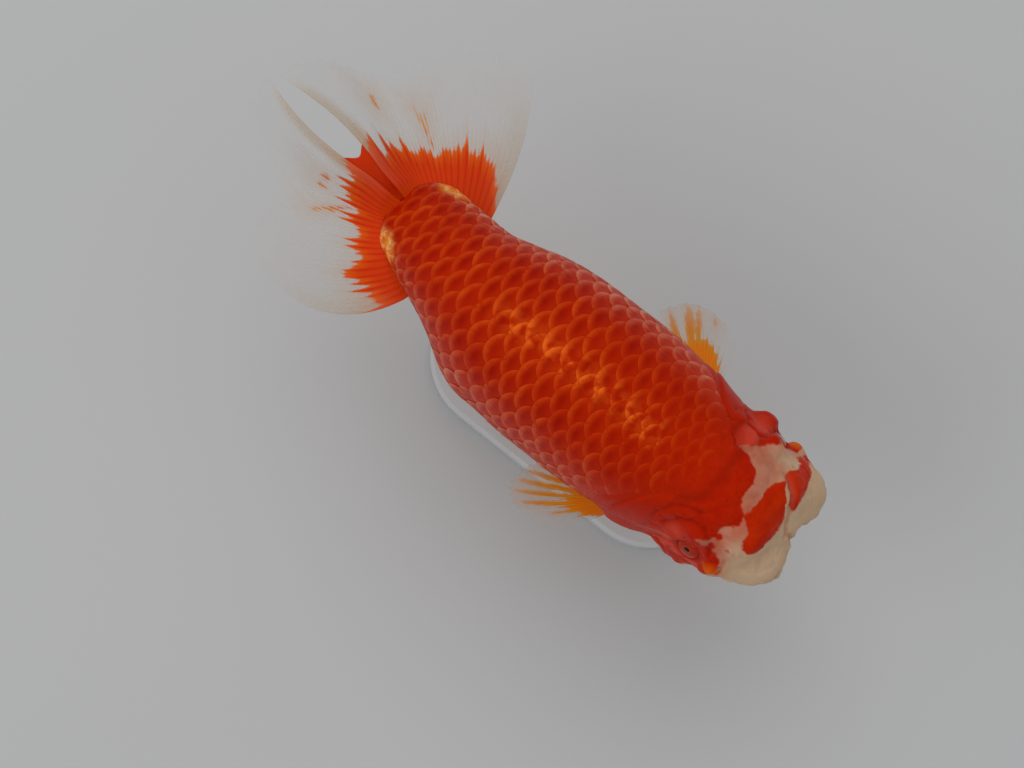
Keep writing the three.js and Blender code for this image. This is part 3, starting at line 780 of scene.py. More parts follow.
def lump_height(points, front, ahead):
    """The height of the swellings. front is where the points lie on the face, and ahead how far they are
    part of it."""
    height = np.zeros(ahead.shape)
    for d, across, reach, rise in LUMPS:
        share = 1 - (norm(points - skin_line([(d, across)])[0]) / reach) ** 2
        height += rise * np.clip(share, 0, None) ** LUMP_POWER
    for across, level, reach, rise in FACE_LUMPS:
        share = 1 - np.sum((front - (across, level)) ** 2, -1) / reach**2
        height += rise * ahead * np.clip(share, 0, None) ** LUMP_POWER
    return height


def wart_height(points, d, angle, level):
    """The height of the growth's warts, which are higher low on the face."""
    growth = smoothstep(30, 24, d) * smoothstep(170, 120, down_angle(angle))
    near, second = cells(points + 0.5 * waves(points, 2.5, 3.0)[..., None], WARTS["size"], 1.0)
    height = WARTS["height"] + WARTS["height_low"] * smoothstep(4, -2, level)
    height = height * (smoothstep(0, WARTS["valley"], second - near) - 0.7)
    near, second = cells(points, FINE_WARTS["size"], 2.0)
    height += FINE_WARTS["height"] * (smoothstep(0, FINE_WARTS["valley"], second - near) - 0.6)
    return growth * height + 0.12 * waves(points, 6.0, 5.0) * smoothstep(40, 30, d)


def fold_depth(points, front, ahead):
    """How deep the folds press the skin in, and how deep in a fold each point lies, from 0 to 1."""
    winding = front + 0.6 * waves(points, 2.4, 9.0)[..., None]
    folds = [(fold[:2], to_segments(points, skin_line(fold[2])), 1.0) for fold in FOLDS]
    folds += [(fold[:2], to_segments(winding, fold[2]), ahead) for fold in FACE_FOLDS]
    depth_here = np.zeros(ahead.shape)
    folded = np.zeros(ahead.shape)
    for (half_width, depth), gap, share in folds:
        crease = share * bell(gap, half_width)
        depth_here += depth * (crease - FOLD_SWELLING * share * bell(gap - 2.2 * half_width, half_width))
        folded = np.maximum(folded, crease)
    return depth_here, folded


def gill_relief(d, angle, side):
    """The height of the gill cover's free edge, and how deep in the slit behind it each point lies."""
    lean = np.degrees(angle) - GILL["middle"] if side == "left" else 180 - np.degrees(angle) - GILL["middle"]
    lean = np.abs((lean + 180) % 360 - 180) / GILL["half"]
    present = smoothstep(1.0, 0.7, lean)
    behind = d - (GILL["reach"] - GILL["sweep"] * lean**2.4)
    soft = smoothstep(-0.25, 0.25, behind)
    step = (1 - soft) * bell(behind, 3.2) - 0.9 * soft * bell(behind, 1.8)
    return GILL["lip"] * present * step, 0.7 * present * bell(behind - 0.35, 0.3)


def head_relief(points, normals, d, angle, marks):
    """Raises and folds the head's skin. Returns the new points and how deep in a fold each one lies."""
    height = BAR_RISE * smoothstep(-0.5, 1.8, marks["bar"])
    height += RED_RISE * smoothstep(-0.5, 2.2, marks["red"]) * smoothstep(25, 20, d)
    ahead = smoothstep(SNOUT_X - 10, SNOUT_X - 6, points[..., 0])
    front = points[..., 1:] - (0, FISH_HEIGHT)
    height += lump_height(points, front, ahead) + wart_height(points, d, angle, front[..., 1])
    depth, folded = fold_depth(points, front, ahead)
    height -= depth
    for side in SIDES:
        step, slit = gill_relief(d, angle, side)
        height += step
        folded = np.maximum(folded, slit)
    raised = points + normals * height[..., None]
    for side in SIDES:
        raised, folded = sink_eye(raised, folded, side)
    raised, folded = open_nostrils(raised, normals, folded)
    return open_mouth(raised, folded)


def sink_eye(points, folded, side):
    """A socket with a soft rim round one eyeball."""
    middle, aim = eye_place(side)
    offset = points - middle
    depth = offset @ aim
    out = norm(offset - depth[..., None] * aim)
    opening = EYE["opening"]
    rim_height = math.sqrt(EYE["radius"] ** 2 - opening**2) + EYE_RIM["proud"]
    facing = smoothstep(-1, 1, depth)
    drawn = mix(depth, np.maximum(depth, rim_height), EYE_RIM["drawn"])
    near_rim = smoothstep(opening + EYE_RIM["reach"], opening + 0.3, out)
    wanted = np.where(out > opening, mix(depth, drawn, near_rim), drawn)
    wanted = wanted - np.clip(opening - out, 0, EYE_PIT["reach"]) * EYE_PIT["slope"]
    moves = facing * smoothstep(opening + 2, opening + 1.9, out)
    moved = points + ((wanted - depth) * moves)[..., None] * aim
    return moved, np.maximum(folded, 0.6 * facing * bell(out - opening - 0.1, EYE_RIM["fold"]))


def open_nostrils(points, normals, folded):
    """A pit with a raised flap in front of it on each side."""
    for sign in (1, -1):
        middle = skin_line([(NOSTRIL["d"], sign * NOSTRIL["across"])])[0]
        gap = norm(points - middle) / NOSTRIL["radius"]
        ahead = smoothstep(-0.6, 0.9, (points[..., 0] - middle[0]) / NOSTRIL["radius"])
        flap = NOSTRIL["flap"] * bell(gap - 1.25, 0.45) * (0.3 + 0.7 * ahead)
        points = points + normals * (flap - NOSTRIL["pit"] * bell(gap, 0.7))[..., None]
        folded = np.maximum(folded, bell(gap, 0.7))
    return points, folded


def open_mouth(points, folded):
    """Two lips round a slit on the front of the face."""
    y = np.linspace(-MOUTH["width"] / 2, MOUTH["width"] / 2, 13)
    level = MOUTH["level"] - MOUTH["droop"] * (2 * y / MOUTH["width"]) ** 2
    gap = to_segments(points[..., 1:] - (0, FISH_HEIGHT), np.stack([y, level], -1))
    ahead = smoothstep(SNOUT_X - 9, SNOUT_X - 6, points[..., 0])
    lips = LIP["height"] * bell(gap - LIP["out"], 0.62) - MOUTH["groove"] * bell(gap - 2.5, 0.5)
    slit = bell(gap, MOUTH["slit_width"])
    moved = points.copy()
    moved[..., 0] += ahead * (lips - MOUTH["slit"] * slit)
    return moved, np.maximum(folded, ahead * np.maximum(slit, 0.5 * bell(gap - 0.9, 0.6)))


# ------------------------------------------------------------------ the skin

SKIN_COLUMNS = 432
SKIN_STEP = dict(head_end=36, head_step=0.27, body_step=0.6)
HEAD_REACH = 48.0  # the markings and the relief of the head end before this station
FLESH = (
    "head", "hood", "snout_lobe_left", "snout_lobe_right", "gill_cover_left", "gill_cover_right", "trunk",
    "tail_stalk", "mouth",
)


def grid_normals(points):
    """Outward normals of a closed grid of points, from its own neighbours."""
    around = np.roll(points, -1, axis=1) - np.roll(points, 1, axis=1)
    return unit(np.cross(np.gradient(points, axis=0), around))


def with_poles(grid):
    """A grid's numbers in a row, and then those of the points that cap its two ends."""
    return np.concatenate([grid.ravel(), grid[0, :1], grid[-1, :1]])


def make_skin():
    """One skin over all the nodes of flesh, with the head's markings and relief."""
    turn = np.arange(SKIN_COLUMNS) / SKIN_COLUMNS * 2 * math.pi
    d, angle = np.meshgrid(stations(**SKIN_STEP), turn, indexing="ij")
    points = body_point(d, angle)
    normals = grid_normals(points)
    rows = int(np.searchsorted(d[:, 0], HEAD_REACH))
    head = slice(0, rows)
    marks = head_marks(plan_places(points[head], angle[head]), points[head])
    folded = np.zeros(d.shape)
    points[head], folded[head] = head_relief(points[head], normals[head], d[head], angle[head], marks)
    under = COAT_DEPTH * smoothstep(-1.0, 2.2, d - coat_start(angle))
    points -= normals * under[..., None]
    faces = capped_faces(len(points), SKIN_COLUMNS)
    caps = [points[0].mean(axis=0), points[-1].mean(axis=0)]
    points = np.concatenate([points.reshape(-1, 3), caps])
    skin = make_piece("skin", points, faces, FLESH)
    for name, rest in BEHIND_HEAD.items():
        behind = np.full((len(d) - rows, SKIN_COLUMNS), rest)
        attach(skin, **{name: with_poles(np.concatenate([marks[name], behind]))})
    # folded says how deep in a fold, pit or slit each point lies; the skin's paint darkens it as painted
    # shade.
    attach(skin, folded=with_poles(folded), down=with_poles(down_angle(angle) / 180), station=with_poles(d))
    add_bake_map(skin, skin_map(faces[0]))
    return skin


def unrolled_rows():
    """The skin's rows of stations, and how far along the unrolled skin each one lies, from 0 to 1."""
    rows = stations(**SKIN_STEP)
    lines = body_point(rows[:, None], np.radians(np.arange(0, 360, 10))[None])
    steps = norm(np.diff(lines, axis=0)).mean(axis=1)
    along = np.concatenate([[0], np.cumsum(steps)])
    return rows, 0.01 + 0.98 * along / along[-1]


def skin_map(quads):
    """The skin unrolled: the angle one way and the distance along the skin the other way."""
    along = unrolled_rows()[1]
    row, column = np.divmod(quads, SKIN_COLUMNS)
    at_seam = column.max(axis=1, keepdims=True) == SKIN_COLUMNS - 1
    column = np.where((column == 0) & at_seam, SKIN_COLUMNS, column)
    body = np.stack([column / SKIN_COLUMNS, along[row]], -1).reshape(-1, 2)
    step = 1 / SKIN_COLUMNS
    turn = np.arange(SKIN_COLUMNS) * step
    poles = []
    for edge, tip, order in ((along[0], 0.0, (0, step)), (along[-1], 1.0, (step, 0))):
        corners = [(turn + order[0], edge), (turn + order[1], edge), (turn + step / 2, tip)]
        poles += [np.stack([np.stack([u, np.full(SKIN_COLUMNS, v)], -1) for u, v in corners], 1)]
    return np.concatenate([body, np.concatenate(poles).reshape(-1, 2)])


# ------------------------------------------------------------------ the coat of scales

# How far apart scales lie along the body and from row to row, each by the station.
SCALE_PITCH = np.array([[20, 2.7], [30, 3.5], [44, 4.4], [60, 4.7], [90, 4.5], [104, 3.9], [121, 3.4]])
SCALE_ROWS = np.array([[20, 2.8], [30, 3.6], [44, 4.7], [60, 5.2], [84, 5.0], [104, 4.1], [121, 3.6]])
FIRST_SCALE, LAST_SCALE = 20.0, BODY_LENGTH - 1.5  # stations
MOST_ROWS = 22  # more rows than a side has room for
SCALE_FRONT, SCALE_REAR = 0.72, 0.80  # reach ahead of and behind a scale's root, in pitches
SCALE_LIFT = 0.34  # how far the free edge stands over the skin
SCALE_DOME = 0.1
SCALE_BED = 0.06  # how far the scales are let into the skin
SCALE_THICKNESS = 0.1
ALONG, ACROSS = 13, 11  # points of a scale's grid
PATCH_SIZE = 0.003  # a scale's width and length on the OFBake map
SHOULDERS = [(112.3, 10.5, 1), (111.9, -11, 1)]  # golden scales beside the tail: (station, out, level)
# Where the flank's paler scales start and are full, in degrees down from the back, and how pale they are.
PALE_FLANK = dict(left=(26, 62, 1.0), right=(42, 82, 0.7))
PAINTED_GLINTS = dict(across=-2.5, reach=3.2, start=34, end=88)  # painted highlights: a row of scales along the back brightened orange to stand for light glinting off them


def unrolled_side(side):
    """Two lookups on one side of the body: the angle at a station and a distance round it from the middle of
    the back, and how far round it is from there to the middle of the belly."""
    sign, step = SIGNS[side], 0.5
    d = np.arange(step / 2, BODY_LENGTH, step)
    turn = np.radians(np.arange(0, 226, 1.0))
    points = body_point(d[:, None], math.pi / 2 - sign * turn)
    round_by = np.zeros(points.shape[:2])
    round_by[:, 1:] = np.cumsum(norm(np.diff(points, axis=1)), axis=1)
    reach = np.arange(0, 110, step)
    turns = np.stack([np.interp(reach, row, turn) for row in round_by])

    def angle_at(at_d, distance):
        row = np.clip((at_d - d[0]) / step, 0, len(d) - 1.001)
        column = np.clip(np.abs(distance) / step, 0, len(reach) - 1.001)
        i, j = row.astype(int), column.astype(int)
        near = mix(turns[i, j], turns[i + 1, j], row - i)
        far = mix(turns[i, j + 1], turns[i + 1, j + 1], row - i)
        return math.pi / 2 - sign * np.sign(distance) * mix(near, far, column - j)

    def to_belly(at_d):
        return np.interp(at_d, d, round_by[:, 180])

    return angle_at, to_belly


def scale_roots(side, angle_at, to_belly, draw):
    """Station, distance round from the back, pitch and row spacing of each scale's root on one side."""
    roots = []
    for row in range(0 if side == "left" else 1, MOST_ROWS):
        d = FIRST_SCALE + (row % 2) * SCALE_PITCH[0, 1] / 2
        while d < LAST_SCALE:
            pitch, spacing = np.interp(d, *SCALE_PITCH.T), np.interp(d, *SCALE_ROWS.T)
            distance = row * spacing
            starts = coat_start(angle_at(np.float64(d), np.float64(max(distance, 1e-3))))
            if distance < to_belly(d) + 0.3 * spacing and d > starts + 0.25 * pitch:
                roots.append((d, distance, pitch, spacing))
            d += pitch
    roots = np.array(roots)
    roots[:, :2] += draw.normal(0, 0.07, (len(roots), 2))
    return roots


def scale_shape():
    """A scale's grid: how far along and across it each point lies, from 0 to 1 and from -1 to 1, and how far
    behind the root the point and the free edge beyond it lie, in pitches."""
    across = np.sin(np.linspace(-1, 1, ACROSS) * math.pi / 2 * 0.97)
    along, across = np.meshgrid(np.linspace(0, 1, ALONG) ** 0.8, across, indexing="ij")
    front = -SCALE_FRONT * (1 - np.abs(across) ** 3) ** 0.4
    rear = SCALE_REAR * (1 - np.abs(across) ** 2.3) ** 0.62
    return along, across, mix(front, rear, along), rear


def lay_scales(roots, angle_at, draw):
    """The scales' grids on the body: their stations and angles, and the points of their undersides and
    tops."""
    d, distance, pitch, spacing = (column[:, None, None] for column in roots.T)
    along, across, behind, _ = scale_shape()
    grown = smoothstep(0, 5, d - coat_start(angle_at(d, distance)))
    size = 0.8 + 0.2 * grown + draw.normal(0, 0.02, d.shape)
    width = (0.5 + 0.5 * np.sin(np.linspace(0, math.pi / 2, ALONG)))[:, None] ** 0.35
    turn = draw.normal(0, 0.03, d.shape)
    back = pitch * size * behind
    aside = spacing * size * 0.97 * across * width
    at_d = np.clip(d + back - turn * aside, 1.0, BODY_LENGTH - 0.6)
    angle = angle_at(at_d, distance + aside + turn * back)
    rising = np.clip(along * 1.15 - 0.12, 0, 1)
    full = smoothstep(30, 62, d)
    lift = SCALE_LIFT * grown * smoothstep(BODY_LENGTH, BODY_LENGTH - 14, d) * mix(0.6, 1.0, full)
    lift = (lift + draw.normal(0, 0.02, d.shape)) * rising
    dome = SCALE_DOME * mix(0.7, 1.0, full) * (1 - across**2) * np.sin(math.pi * along)
    ripple = 0.014 * np.sin(along * 40) * rising * (1 - rising)
    thickness = SCALE_THICKNESS * mix(1.0, 0.35, along**2)
    skin, outward = body_point(at_d, angle, -COAT_DEPTH), smooth_normal(at_d, angle)
    height = lift + dome - SCALE_BED
    under = skin + outward * (height - thickness)[..., None]
    return at_d, angle, under, skin + outward * (height + ripple)[..., None]


def scale_marks(side, roots, at_d, angle, top, draw):
    """What the scales' material reads, at each point of their grids."""
    _, across, behind, rear = scale_shape()
    to_gold = [norm(top - place(*shoulder)) for shoulder in SHOULDERS]
    start, end = PAINTED_GLINTS["start"], PAINTED_GLINTS["end"]
    # Where the painted glints of light along the back lie.
    painted_glint = bell(top[..., 1] - PAINTED_GLINTS["across"], PAINTED_GLINTS["reach"]) * (top[..., 2] > FISH_HEIGHT)
    flank_top, flank_full, paleness = PALE_FLANK[side]
    return dict(
        edge=(rear - behind) * roots[:, 2, None, None] + 1.1 * np.abs(across) ** 3,
        tone=draw.uniform(0, 1, (len(roots), 1, 1)),
        gold=smoothstep(5.6, 2.6, np.minimum(*to_gold)),
        painted_glint=painted_glint * smoothstep(start, start + 6, at_d) * smoothstep(end, end - 12, at_d),
        station=at_d,
        down=down_angle(angle) / 180,
        heart=bell(across, 0.52) * bell(rear - behind - 0.44, 0.27),
        flank=paleness * smoothstep(flank_top, flank_full, down_angle(angle)),
    )


def coat_map(roots, angle_at, faces):
    """The scales on the OFBake map, each on a small patch round its root's place on the unrolled skin."""
    along, across, _, _ = scale_shape()
    patch = np.stack([across, along * 2 - 1], -1).reshape(-1, 2) * PATCH_SIZE / 2
    turn = angle_at(roots[:, 0], roots[:, 1]) / (2 * math.pi) % 1
    middle = np.stack([turn, np.interp(roots[:, 0], *unrolled_rows())], -1)
    middle = np.clip(middle, PATCH_SIZE / 2, 1 - PATCH_SIZE / 2)
    return (patch[faces % len(patch)] + middle[:, None, None]).reshape(-1, 2)


def make_coat(side, draw):
    """The coat of overlapping scales on one side, each scale a thin closed sheet."""
    angle_at, to_belly = unrolled_side(side)
    roots = scale_roots(side, angle_at, to_belly, draw)
    at_d, angle, under, top = lay_scales(roots, angle_at, draw)
    faces = sheet_faces(ALONG, ACROSS)
    if side == "left":
        faces = faces[:, ::-1]
    first = np.arange(len(roots))[:, None, None] * 2 * ALONG * ACROSS
    points = np.stack([under, top], axis=1).reshape(-1, 3)
    coat = make_piece(f"scales_{side}", points, [(faces + first).reshape(-1, 4)])
    for name, mark in scale_marks(side, roots, at_d, angle, top, draw).items():
        attach(coat, **{name: np.repeat(np.broadcast_to(mark, at_d.shape)[:, None], 2, axis=1)})
    add_bake_map(coat, coat_map(roots, angle_at, faces))
    return coat


# ------------------------------------------------------------------ the fins
# A fin is a thin closed sheet over (u, v): u across its rays and v from root to margin, both from 0 to 1.

# How far the red of the root reaches out along the rays: (u, v).
TAIL_RED = dict(
    left=[
        (0, 0.46), (0.04, 0.47), (0.08, 0.50), (0.12, 0.37), (0.23, 0.44), (0.31, 0.45), (0.38, 0.45),
        (0.44, 0.50), (0.52, 0.43), (0.61, 0.48), (0.75, 0.46), (0.90, 0.46), (0.96, 0.33), (1, 0.30),
    ],
    right=[
        (0, 0.48), (0.06, 0.43), (0.10, 0.39), (0.23, 0.41), (0.29, 0.37), (0.38, 0.42), (0.48, 0.40),
        (0.58, 0.41), (0.68, 0.36), (0.74, 0.48), (0.80, 0.39), (0.86, 0.35), (0.93, 0.37), (1, 0.35),
    ],
)
PECTORAL_RED = dict(
    left=[
        (0, 0.3), (0.25, 0.5), (0.35, 0.62), (0.5, 0.70), (0.62, 0.72), (0.74, 0.68), (0.84, 0.56),
        (1, 0.30),
    ],
    right=[(0, 0.36), (0.2, 0.43), (0.4, 0.48), (0.6, 0.54), (0.8, 0.57), (0.9, 0.54), (1, 0.48)],
)
PLAIN_RED = dict.fromkeys(SIDES, [(0, 0.3), (0.3, 0.45), (0.7, 0.4), (1, 0.3)])
BRIDGE_RED = dict(middle=[(0, 1.4), (1, 1.4)])
# Loose flecks of red: (u and v of the near end, u and v of the far end, half width in u).
TAIL_FLECKS = dict(
    left=[
        (0.53, 0.42, 0.475, 0.76, 0.013), (0.505, 0.46, 0.525, 0.70, 0.009),
        (0.28, 0.67, 0.295, 0.80, 0.015),
    ],
    right=[
        (0.31, 0.36, 0.45, 0.71, 0.015), (0.35, 0.40, 0.40, 0.58, 0.010), (0.18, 0.46, 0.19, 0.52, 0.018),
        (0.245, 0.50, 0.25, 0.56, 0.014),
    ],
)
PECTORAL_FLECKS = dict(
    left=[
        (0.36, 0.5, 0.39, 0.96, 0.038), (0.5, 0.5, 0.53, 0.98, 0.052), (0.57, 0.5, 0.60, 0.99, 0.036),
        (0.72, 0.86, 0.73, 0.99, 0.024),
    ],
    right=[
        (0.06, 0.2, 0.05, 0.85, 0.022), (0.15, 0.2, 0.15, 0.97, 0.040), (0.25, 0.2, 0.25, 0.99, 0.048),
        (0.36, 0.2, 0.37, 0.98, 0.046), (0.48, 0.2, 0.48, 0.96, 0.042), (0.62, 0.2, 0.59, 0.93, 0.044),
        (0.75, 0.2, 0.74, 0.74, 0.034),
    ],
)
UNDER_RED = 0.014  # how much shorter the red is on a fin's underside, so that no dark edge shows through
ROOT_SINK = dict(depth=3.6, width=0.6, end=0.4)
# The web that joins the inner rays of the tail, along the ray at u, up to a share of its length.
BRIDGE = dict(u=0.03, reach=0.46, notch=0.05, dip=0.1)

# Thickness of the root, the web and the rays, how much of it may stand above the fin's middle, the depth of
# its waves, and the length of the red's spikes in shares of the fin's.
FINS = {
    "tail": dict(
        rays=22, columns=265, rows=84, root=6.0, above=1.1, web=0.18, ray=0.2, wave=0.9, spike=0.13,
        red=TAIL_RED, flecks=TAIL_FLECKS,
    ),
    "pectoral_fin": dict(
        rays=15, columns=136, rows=52, root=1.8, above=0.9, web=0.16, ray=0.14, wave=0.5, spike=0.16,
        red=PECTORAL_RED, flecks=PECTORAL_FLECKS,
    ),
    "pelvic_fin": dict(
        rays=10, columns=101, rows=44, root=1.5, above=0.8, web=0.16, ray=0.14, wave=0.5, spike=0.12,
        red=PLAIN_RED, flecks={},
    ),
    "tail_bridge": dict(
        rays=4, columns=45, rows=50, root=5.0, above=1.0, web=0.5, ray=0.25, wave=0.0, spike=0.2,
        red=BRIDGE_RED, flecks={},
    ),
    "anal_fin": dict(
        rays=9, columns=91, rows=40, root=1.3, above=0.7, web=0.16, ray=0.14, wave=0.4, spike=0.12,
        red=PLAIN_RED, flecks={},
    ),
}


def ray_pattern(u, v, rays):
    """1 along the middle of a ray and 0 between rays, each ray forking at two places on its way out."""
    phase = math.pi * rays * (u + 0.006 * np.sin(7 * math.pi * u + 2 * v))
    pattern = np.abs(np.cos(phase)) ** 6
    for parts, sharpness, fork in ((2, 3, 0.38), (4, 2, 0.72)):
        ray = np.abs(np.cos(phase * parts)) ** sharpness
        pattern = mix(pattern, ray, smoothstep(fork - 0.08, fork + 0.08, v))
    return pattern


def sunk_tail(side, u, v):
    """The tail's surface with its root bedded lower, so that the end of the stalk lies over it."""
    surface = tail_surface(side, u, v)
    sunk = bell(u, ROOT_SINK["width"]) * smoothstep(ROOT_SINK["end"], 0, v)
    surface[..., 2] -= ROOT_SINK["depth"] * sunk
    return surface


def bridge_surface(u, v):
    """The web between the two inner rays of the tail, u running from the left ray to the right one."""
    along = v * (BRIDGE["reach"] - BRIDGE["notch"] * np.sin(math.pi * u) ** 2)
    left, right = (sunk_tail(side, np.full(u.shape, BRIDGE["u"]), along) for side in SIDES)
    surface = mix(left, right, u[..., None])
    surface[..., 2] -= BRIDGE["dip"] * np.sin(math.pi * u) ** 2 * smoothstep(0, 1, v)
    return surface


def fin_surface(fin, side, u, v):
    """The middle of a fin's sheet, and the CAD nodes that the fin replaces."""
    if fin == "tail":
        return sunk_tail(side, u, v), [f"tail_upper_{side}", f"tail_lower_{side}"]
    if fin == "tail_bridge":
        return bridge_surface(u, v), []
    return fan_surface(fin, side, u, v), [f"{fin}_{side}"]


def red_reach(u, v, shape, side, draw):
    """How far inside the red of a fin's root each point lies, in shares of the fin's length."""
    teeth = draw.uniform(-0.3, 1, shape["rays"] + 2)
    phase = u * shape["rays"]
    ray = np.round(phase)
    tooth = np.interp(ray, np.arange(len(teeth)), teeth) * (1 - 2 * np.abs(phase - ray)) ** 1.3
    inside = np.interp(u, *np.array(shape["red"][side]).T) + shape["spike"] * (tooth - 0.3) - v
    for u0, v0, u1, v1, half_width in shape["flecks"].get(side, ()):
        t = (v - v0) / (v1 - v0)
        along = np.clip(t, 0, 1)
        narrow = half_width * np.sqrt(np.clip(1 - (2 * along - 1) ** 2, 0.05, 1))
        from_side = narrow - np.abs(u - mix(u0, u1, along))
        from_end = 0.5 * np.minimum(t, 1 - t) * (v1 - v0)
        inside = np.maximum(inside, 1.5 * np.minimum(from_side, from_end))
    return inside


def make_fin(fin, side, draw):
    """A fin with raised rays, and with leading edges and a torn margin unless it is the bridge."""
    shape = FINS[fin]
    rows, columns, free = shape["rows"], shape["columns"], fin != "tail_bridge"
    v, u = np.meshgrid(np.linspace(0, 1, rows), np.linspace(0, 1, columns), indexing="ij")
    torn = 0.02 * draw.uniform(0, 1, 41)[(u * 40).astype(int)]
    torn = free * (torn + 0.022 * np.abs(np.sin(u * math.pi * shape["rays"]))) * smoothstep(0.06, 0.16, u)
    surface, replaced = fin_surface(fin, side, u, v * (1 - torn * v**3))
    normal = unit(np.cross(np.gradient(surface, axis=0), np.gradient(surface, axis=1)))
    phase = draw.uniform(0, 2 * math.pi, 3)
    wave = np.sin(9 * u + 3 * v + phase[0]) + 0.6 * np.sin(17 * u - 5 * v + phase[1])
    surface = surface + normal * (shape["wave"] * wave * v**1.6 * 0.5)[..., None]
    pattern = ray_pattern(u, v, shape["rays"])
    lead = smoothstep(0.11, 0.03, u + 0.05 * v**2) * smoothstep(1.0, 0.8, v)
    lead = free * (lead + 0.75 * bell(1 - u, 0.10) * smoothstep(1.0, 0.4, v))
    fade = smoothstep(1.0, 0.55, v)
    thickness = mix(shape["web"], shape["root"], (1 - smoothstep(0, 0.42, v)) ** 2.2)
    thickness += shape["ray"] * (pattern * (0.4 + 0.6 * fade) * smoothstep(-0.1, 0.5, v) + lead * fade)
    above = np.minimum(thickness / 2, shape["above"])
    upward = normal * np.sign(normal[..., 2:])
    sheet = [surface - upward * (thickness - above)[..., None], surface + upward * above[..., None]]
    faces = sheet_faces(rows, columns)
    if normal[..., 2].mean() < 0:
        faces = faces[:, ::-1]
    piece = make_piece(f"{fin}_{side}_web", np.stack(sheet).reshape(-1, 3), [faces], replaced)
    red = red_reach(u, v, shape, side, draw)
    marks = dict(ray=pattern, fin_u=u, fin_v=v if free else v * BRIDGE["reach"], lead=lead)
    attach(piece, red=(red - UNDER_RED, red), **{name: (mark, mark) for name, mark in marks.items()})
    lower = np.stack([u * 0.47 + 0.01, v * 0.96 + 0.02], -1).reshape(-1, 2)
    add_bake_map(piece, np.concatenate([lower, lower + (0.5, 0)])[faces])
    return piece


# ------------------------------------------------------------------ the eyes

PUPIL, GOLD_RING, IRIS = 0.7, 0.86, 3.1  # radii seen from the front of the eye
EYEBALL = 3.72
EYE_ROWS, EYE_COLUMNS = 60, 96
BEHIND_IRIS = 9.0  # stands for the radius on the back of the eyeball
# The cornea: its gap to the eyeball, how much it is flattened ahead, and its reach from the axis.
CORNEA = dict(gap=0.02, flat=0.63, thickness=0.12, reach=math.radians(58), rows=22)


def turned(profile, middle, aim):
    """Points of a profile of (out, along) turned round an eye's axis."""
    level = unit(np.cross([0, 0, 1.0], aim))
    upright = np.cross(aim, level)
    turn = np.arange(EYE_COLUMNS) / EYE_COLUMNS * 2 * math.pi
    out, along = profile.T
    ring = np.cos(turn)[:, None] * level + np.sin(turn)[:, None] * upright
    return middle + out[:, None, None] * ring + along[:, None, None] * aim


def make_eyeball(side):
    """The eyeball with its sunk iris and dark lens."""
    middle, aim = eye_place(side)
    lean = np.linspace(0.012, math.pi - 0.02, EYE_ROWS)
    out, along = EYEBALL * np.sin(lean), EYEBALL * np.cos(lean)
    ahead = along > 0
    iris_level = np.minimum(along, 3.0 - 0.05 * out**2)
    along = mix(along, iris_level, smoothstep(IRIS + 0.15, IRIS - 0.5, out) * ahead)
    along += 0.25 * np.sqrt(np.clip(1 - (out / PUPIL) ** 2, 0, 1)) * ahead
    points = turned(np.stack([out, along], -1), middle, aim)
    radial = np.broadcast_to(np.where(ahead, out, BEHIND_IRIS)[:, None], points.shape[:2])
    streak = np.broadcast_to(np.arange(EYE_COLUMNS) / EYE_COLUMNS, points.shape[:2])
    ripple = 0.03 * np.sin(streak * 2 * math.pi * 36 + 4 * np.sin(radial * 5))
    ripple = ripple * (np.abs(radial - 2.3) < 0.75)
    points = points + ripple[..., None] * aim
    caps = [middle + aim * along[0], middle - aim * EYEBALL]
    points = np.concatenate([points.reshape(-1, 3), caps])
    eye = make_piece(f"eyeball_{side}", points, capped_faces(EYE_ROWS, EYE_COLUMNS), [f"eye_{side}"])
    attach(eye, radial=np.append(radial, [0, BEHIND_IRIS]), streak=np.append(streak, [0, 0]))
    return eye


def make_cornea(side):
    """The clear cornea in front of the eyeball, flattened ahead, with its lining."""
    middle, aim = eye_place(side)
    lean = np.linspace(0.02, CORNEA["reach"], CORNEA["rows"])[:, None]
    outer = EYE["radius"] - CORNEA["gap"]
    radius = outer - CORNEA["flat"] * np.cos(np.clip(lean * 1.4, 0, math.pi / 2)) ** 2
    around = np.concatenate([np.sin(lean), np.cos(lean)], axis=-1)
    profile = np.concatenate([radius * around, ((radius - CORNEA["thickness"]) * around)[::-1]])
    front = outer - CORNEA["flat"]
    caps = [middle + aim * front, middle + aim * (front - CORNEA["thickness"])]
    points = np.concatenate([turned(profile, middle, aim).reshape(-1, 3), caps])
    return make_piece(f"cornea_{side}", points, capped_faces(len(profile), EYE_COLUMNS))


# ------------------------------------------------------------------ colours and finishes

# Colours are linear red, green and blue.
CROWN_RED = (0.45, 0.010, 0.0008)
BAR_RED = (0.53, 0.024, 0.0015)
LOBE_RED = (0.60, 0.050, 0.024)
SCALE_CENTRE = (0.30, 0.004, 0.0004)
SCALE_NET = (0.45, 0.014, 0.001)
SCALE_RIM = (0.64, 0.075, 0.005)
FLANK_CENTRE = (0.56, 0.030, 0.003)
FLANK_RIM = (0.72, 0.27, 0.16)
BELLY = (0.76, 0.22, 0.05)
BELLY_RIM = (0.85, 0.52, 0.28)
GOLD = (0.95, 0.36, 0.03)
# Painted highlight: the bright sparkle standing for light glinting off the free edges of the gold scales.
GOLD_SPARKLE_HIGHLIGHT = (1.0, 0.70, 0.26)
# Painted highlight: the orange of the glints of light along the back, also used for the hearts of the gold
# scales.
PAINTED_GLINT_ORANGE = (0.86, 0.14, 0.012)
BAND_PINK = (0.47, 0.135, 0.075)
CREAM = (0.55, 0.365, 0.22)
CHIN_CREAM = (0.64, 0.47, 0.33)
